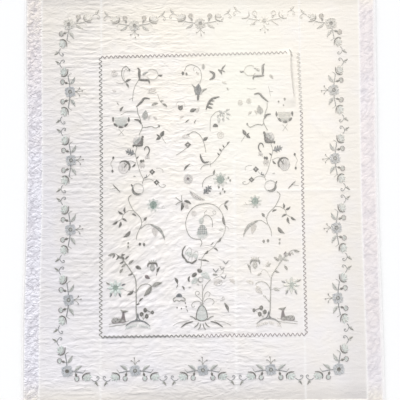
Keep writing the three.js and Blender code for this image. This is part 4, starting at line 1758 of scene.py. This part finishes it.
# Spacing of the points across the field and in the bands, in cloth steps
FIELD_ACROSS, BAND_STEPS = 1.45, 0.85

# Binding: cells across it, the spacing of its points along it, and how far and where its fold sinks at its
# inner and outer edges, in shares of its height and its width
BINDING_COLUMNS, BINDING_STEP = 8, 6
INNER_SINKS, INNER_ENDS = 0.5, 0.3
OUTER_SINKS, OUTER_STARTS = 0.4, 0.4

# Running stitches of the quilting: pitch, length and width, and how far from the field's sides they stop
RUN_PITCH, RUN_LENGTH, RUN_WIDTH = 9.5, 5, 1.1
RUN_STOPS = 8


def quilted_piece(node, cloth, across, along, steps, height, marks, material):
    """A sewn piece as a quilted sheet between its ends across and along. steps is the spacing of its points
    each way, and height and marks are given by flat places."""
    def flat(u, v):
        return [low + (high - low) * (t + 1) / 2 for t, (low, high) in ((u, across), (v, along))]

    def shape(u, v):
        x, y = flat(u, v)
        return x + cloth.drawn_in(x, y), y, cloth.lift(x, y), height(x, y)

    columns, rows = (round((high - low) / step) for (low, high), step in zip((across, along), steps))
    return sheet_piece(node + "_quilted", columns, rows, shape, material, lambda u, v: marks(*flat(u, v)))


def binding_piece(node, cloth, tall, outward, material):
    """A binding folded over the edge that looks outward, with mitred ends."""
    width = HALF_WIDTH - BAND_X - SEAM_GAP / 2
    sideways = outward in (1, -1)
    sign = outward if sideways else (outward / 1j).real
    edge, end = (HALF_WIDTH, HALF_LENGTH) if sideways else (HALF_LENGTH, HALF_WIDTH)

    def shape(u, v):
        across, along = (u, v) if sideways else (v, u)
        inset = width * (1 - sign * across) / 2
        out = sign * (edge - inset)
        run = along * (end - inset - SEAM_GAP)
        x, y = (out, run) if sideways else (run, out)
        t = 1 - inset / width
        inner = 1 - INNER_SINKS * smooth((INNER_ENDS - t) / INNER_ENDS)
        outer = 1 - OUTER_SINKS * smooth((t - OUTER_STARTS) / (1 - OUTER_STARTS))
        pucker = 1 + lumps(x, y, *BINDING_LUMPS)
        return x + cloth.drawn_in(x, y), y, cloth.lift(x, y), tall * inner * outer * pucker

    rows = round(2 * end / BINDING_STEP)
    counts = (BINDING_COLUMNS, rows) if sideways else (rows, BINDING_COLUMNS)
    return sheet_piece(node + "_folded", *counts, shape, material)


class QUILT_OT_field(bpy.types.Operator):
    """Quilts the three widths of the field, under the needlework"""
    bl_idname = "quilt.field"
    bl_label = "Field"

    def execute(self, context):
        sizes, colours = context.scene.quilt_sizes, context.scene.quilt_colours
        cloth = Cloth(sizes)
        step = sizes.cloth_step / MM
        material = cotton("field_cotton", colours.field_cool, colours.field_warm, *FIELD_COTTON)
        widths = {"field_left": (-FIELD_X, -CENTRE_X - SEAM_GAP), "field_centre": (-CENTRE_X, CENTRE_X),
                  "field_right": (CENTRE_X + SEAM_GAP, FIELD_X)}
        for node, (left, right) in widths.items():
            piece = quilted_piece(node, cloth, (left, right), (-FIELD_Y, FIELD_Y),
                                  (FIELD_ACROSS * step, step), cloth.field, cloth.field_marks, material)
            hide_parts(node)
        return {"FINISHED"}


class QUILT_OT_bands(bpy.types.Operator):
    """Quilts the four close bands, inside their bindings"""
    bl_idname = "quilt.bands"
    bl_label = "Bands"

    def execute(self, context):
        sizes, colours = context.scene.quilt_sizes, context.scene.quilt_colours
        cloth = Cloth(sizes)
        step = BAND_STEPS * sizes.cloth_step / MM
        material = cotton("band_cotton", colours.band_cool, colours.band_warm, *BAND_COTTON)
        inner_x, inner_y = FIELD_X + SEAM_GAP, FIELD_Y + SEAM_GAP
        bands = {"band_left": ((-BAND_X, -inner_x), (-BAND_Y, BAND_Y)),
                 "band_right": ((inner_x, BAND_X), (-BAND_Y, BAND_Y)),
                 "band_head": ((-FIELD_X, FIELD_X), (inner_y, BAND_Y)),
                 "band_foot": ((-FIELD_X, FIELD_X), (-BAND_Y, -inner_y))}
        for node, (across, along) in bands.items():
            piece = quilted_piece(node, cloth, across, along, (step, step),
                                  cloth.band, cloth.band_marks, material)
            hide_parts(node)
        return {"FINISHED"}


class QUILT_OT_bindings(bpy.types.Operator):
    """Folds the binding over the four edges"""
    bl_idname = "quilt.bindings"
    bl_label = "Bindings"

    def execute(self, context):
        sizes, colours = context.scene.quilt_sizes, context.scene.quilt_colours
        cloth = Cloth(sizes)
        tall = sizes.binding_height / MM
        material = cotton("binding_cotton", colours.binding, colours.binding, *BINDING_COTTON)
        edges = {"binding_right": 1, "binding_left": -1, "binding_head": 1j, "binding_foot": -1j}
        for node, outward in edges.items():
            piece = binding_piece(node, cloth, tall, outward, material)
            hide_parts(node)
        return {"FINISHED"}


def work_piece(name, work, context, rings=TWO_RINGS):
    """Turns gathered stitches into a piece on the field."""
    if not work.starts:
        raise RuntimeError(f"{name} has no stitches")
    cloth = Cloth(context.scene.quilt_sizes)
    mesh = work.mesh(name, cloth, rings)
    return finish_piece(name, mesh, thread_materials(context.scene.quilt_colours))


class QUILT_OT_vine(bpy.types.Operator):
    """Embroiders the flowering vine of the border"""
    bl_idname = "quilt.vine"
    bl_label = "Border vine"

    def execute(self, context):
        sizes = context.scene.quilt_sizes
        wide, long = sizes.vine_width / 2 / MM, sizes.vine_length / 2 / MM
        for name, sides, half_side, off in (("vine_ends", (FOOT, HEAD), wide, long),
                                            ("vine_sides", (RIGHT, LEFT), long, wide)):
            work = Needlework()
            for outward in sides:
                vine_side(work, outward, half_side, off)
            work_piece(name, work, context)
        return {"FINISHED"}


class QUILT_OT_trees(bpy.types.Operator):
    """Embroiders the three flowering trees"""
    bl_idname = "quilt.trees"
    bl_label = "Trees"

    def execute(self, context):
        for name, mirror, own_stems, own_motifs in (("tree_left", None, LEFT_STEMS, LEFT_MOTIFS),
                                                    ("tree_right", MIRROR, RIGHT_STEMS, RIGHT_MOTIFS)):
            work = Needlework(mirror)
            work_tree(work, SIDE_STEMS, SIDE_BARS, SIDE_MOTIFS)
            work_tree(work, own_stems, (), own_motifs)
            work_piece(name, work, context)
        work = Needlework()
        work_tree(work, MIDDLE_STEMS, MIDDLE_BARS, MIDDLE_MOTIFS)
        work_piece("tree_middle", work, context)
        return {"FINISHED"}


class QUILT_OT_frame_line(bpy.types.Operator):
    """Embroiders the zigzag frame round the trees"""
    bl_idname = "quilt.frame_line"
    bl_label = "Zigzag frame"

    def execute(self, context):
        work = Needlework()
        for start, end, thread, width, reach in FRAME_ROWS:
            zigzag(work, start, end, context.scene.quilt_sizes.tooth / MM, thread, width, reach)
        # Strokes of pale thread along the turned corner's fold, as its painted shadow
        for width, thread, *places in FOLD_SHADOW_STROKES:
            work.bar(places, width, thread)
        work_piece("zigzag_frame", work, context)
        return {"FINISHED"}


class QUILT_OT_quilting(bpy.types.Operator):
    """Sews the running stitches along the channels"""
    bl_idname = "quilt.quilting"
    bl_label = "Quilting stitches"

    def execute(self, context):
        sizes = context.scene.quilt_sizes
        cloth = Cloth(sizes)
        work = Needlework()
        x = np.arange(-FIELD_X + RUN_STOPS, FIELD_X - RUN_STOPS, RUN_PITCH)
        for k in range(1, sizes.channels):
            level = np.full_like(x, -FIELD_Y + k * cloth.pitch)
            line = x + 1j * (level + cloth.wander(x, level))
            work.add(line, line + RUN_LENGTH, RUN_WIDTH, WHITE)
        work_piece("quilting_stitches", work, context, ONE_RING)
        return {"FINISHED"}


# Floor: its reach in metres and its cells, how far it lies under the quilt, its colour and its roughness
FLOOR_REACH, FLOOR_CELLS = 9.0, 4
FLOOR_UNDER = 0.0003
FLOOR_COLOUR = (0.915, 0.915, 0.915, 1)
FLOOR_ROUGHNESS = 0.9

# Key light: where it shines from, how soft it is and its colour. Then the colour of the room
KEY_FROM = (-0.4, 4.03, 2.3)
KEY_SPREAD = math.radians(50)
KEY_COLOUR = (1.0, 0.99, 0.98)
ROOM_COLOUR = (0.97, 0.98, 1.0, 1)

# Camera: width of its sensor in camera millimetres, and how far it sees in metres
SENSOR_WIDTH = 36.0
SIGHT = 50.0


def lay_floor(scene):
    """Lays a plain white floor just under the quilt."""
    bm = bmesh.new()
    bmesh.ops.create_grid(bm, x_segments=FLOOR_CELLS, y_segments=FLOOR_CELLS, size=FLOOR_REACH)
    bmesh.ops.translate(bm, verts=bm.verts, vec=(0, 0, -FLOOR_UNDER))
    mesh = bpy.data.meshes.new("floor")
    bm.to_mesh(mesh)
    bm.free()
    floor = bpy.data.objects.new("floor", mesh)
    material = bpy.data.materials.new("floor_white")
    material.use_nodes = True
    shader = material.node_tree.nodes["Principled BSDF"]
    shader.inputs["Base Color"].default_value = FLOOR_COLOUR
    shader.inputs["Roughness"].default_value = FLOOR_ROUGHNESS
    shader.inputs["Specular IOR Level"].default_value = 0.0
    mesh.materials.append(material)
    scene.collection.objects.link(floor)


def set_lights(scene, stage):
    """Sets a soft light over the head of the quilt, and even light from all round."""
    light = bpy.data.lights.new("key", "SUN")
    light.energy, light.angle, light.color = stage.key_power, KEY_SPREAD, KEY_COLOUR
    lamp = bpy.data.objects.new("key", light)
    lamp.location = KEY_FROM
    lamp.rotation_euler = (-lamp.location).to_track_quat("-Z", "Y").to_euler()
    scene.collection.objects.link(lamp)
    world = bpy.data.worlds.new("room")
    world.use_nodes = True
    background = world.node_tree.nodes["Background"]
    background.inputs["Color"].default_value = ROOM_COLOUR
    background.inputs["Strength"].default_value = stage.room
    scene.world = world


def place_camera(scene, stage):
    """Places the camera over the quilt and aims it at the target."""
    view = bpy.data.cameras.new("view")
    view.lens, view.sensor_width = stage.lens, SENSOR_WIDTH
    view.clip_end = SIGHT
    camera = bpy.data.objects.new("view", view)
    look = np.array([0, math.sin(stage.tilt), -math.cos(stage.tilt)])
    camera.location = np.array(stage.target) - look * stage.distance
    camera.rotation_euler = (stage.tilt, 0, 0)
    camera.rotation_euler.rotate_axis("Z", stage.roll)
    scene.collection.objects.link(camera)
    scene.camera = camera


class QUILT_OT_stage(bpy.types.Operator):
    """Lays the floor, sets the lights and places the camera"""
    bl_idname = "quilt.stage"
    bl_label = "Stage"

    def execute(self, context):
        scene, stage = context.scene, context.scene.quilt_stage
        lay_floor(scene)
        set_lights(scene, stage)
        place_camera(scene, stage)
        scene.view_settings.view_transform = "Standard"
        return {"FINISHED"}


class QUILT_PT_panel(bpy.types.Panel):
    """Lists the quilt's pieces and settings"""
    bl_idname = "QUILT_PT_panel"
    bl_label = "Embroidered quilt"
    bl_space_type = "VIEW_3D"
    bl_region_type = "UI"
    bl_category = "Quilt"

    def draw(self, context):
        for operator in OPERATORS:
            self.layout.operator(operator.bl_idname)
        for group in (context.scene.quilt_sizes, context.scene.quilt_colours, context.scene.quilt_stage):
            for name in group.__annotations__:
                self.layout.prop(group, name)


GROUPS = (QuiltSizes, QuiltColours, StageSettings)
OPERATORS = (QUILT_OT_stage, QUILT_OT_bindings, QUILT_OT_bands, QUILT_OT_vine, QUILT_OT_trees,
             QUILT_OT_frame_line, QUILT_OT_quilting, QUILT_OT_field)
CLASSES = (*GROUPS, *OPERATORS, QUILT_PT_panel)


def register():
    """Registers the classes and hangs their settings on the scene."""
    for each in CLASSES:
        bpy.utils.register_class(each)
    bpy.types.Scene.quilt_sizes = PointerProperty(type=QuiltSizes)
    bpy.types.Scene.quilt_colours = PointerProperty(type=QuiltColours)
    bpy.types.Scene.quilt_stage = PointerProperty(type=StageSettings)


def unregister():
    """Takes the settings and the classes away again."""
    for name in ("quilt_sizes", "quilt_colours", "quilt_stage"):
        delattr(bpy.types.Scene, name)
    for each in reversed(CLASSES):
        bpy.utils.unregister_class(each)


def main():
    """Builds the quilt and its stage."""
    register()
    bpy.ops.quilt.stage()
    bpy.ops.quilt.bindings()
    bpy.ops.quilt.bands()
    bpy.ops.quilt.vine()
    bpy.ops.quilt.trees()
    bpy.ops.quilt.frame_line()
    bpy.ops.quilt.quilting()
    bpy.ops.quilt.field()


if __name__ == "__main__":
    main()
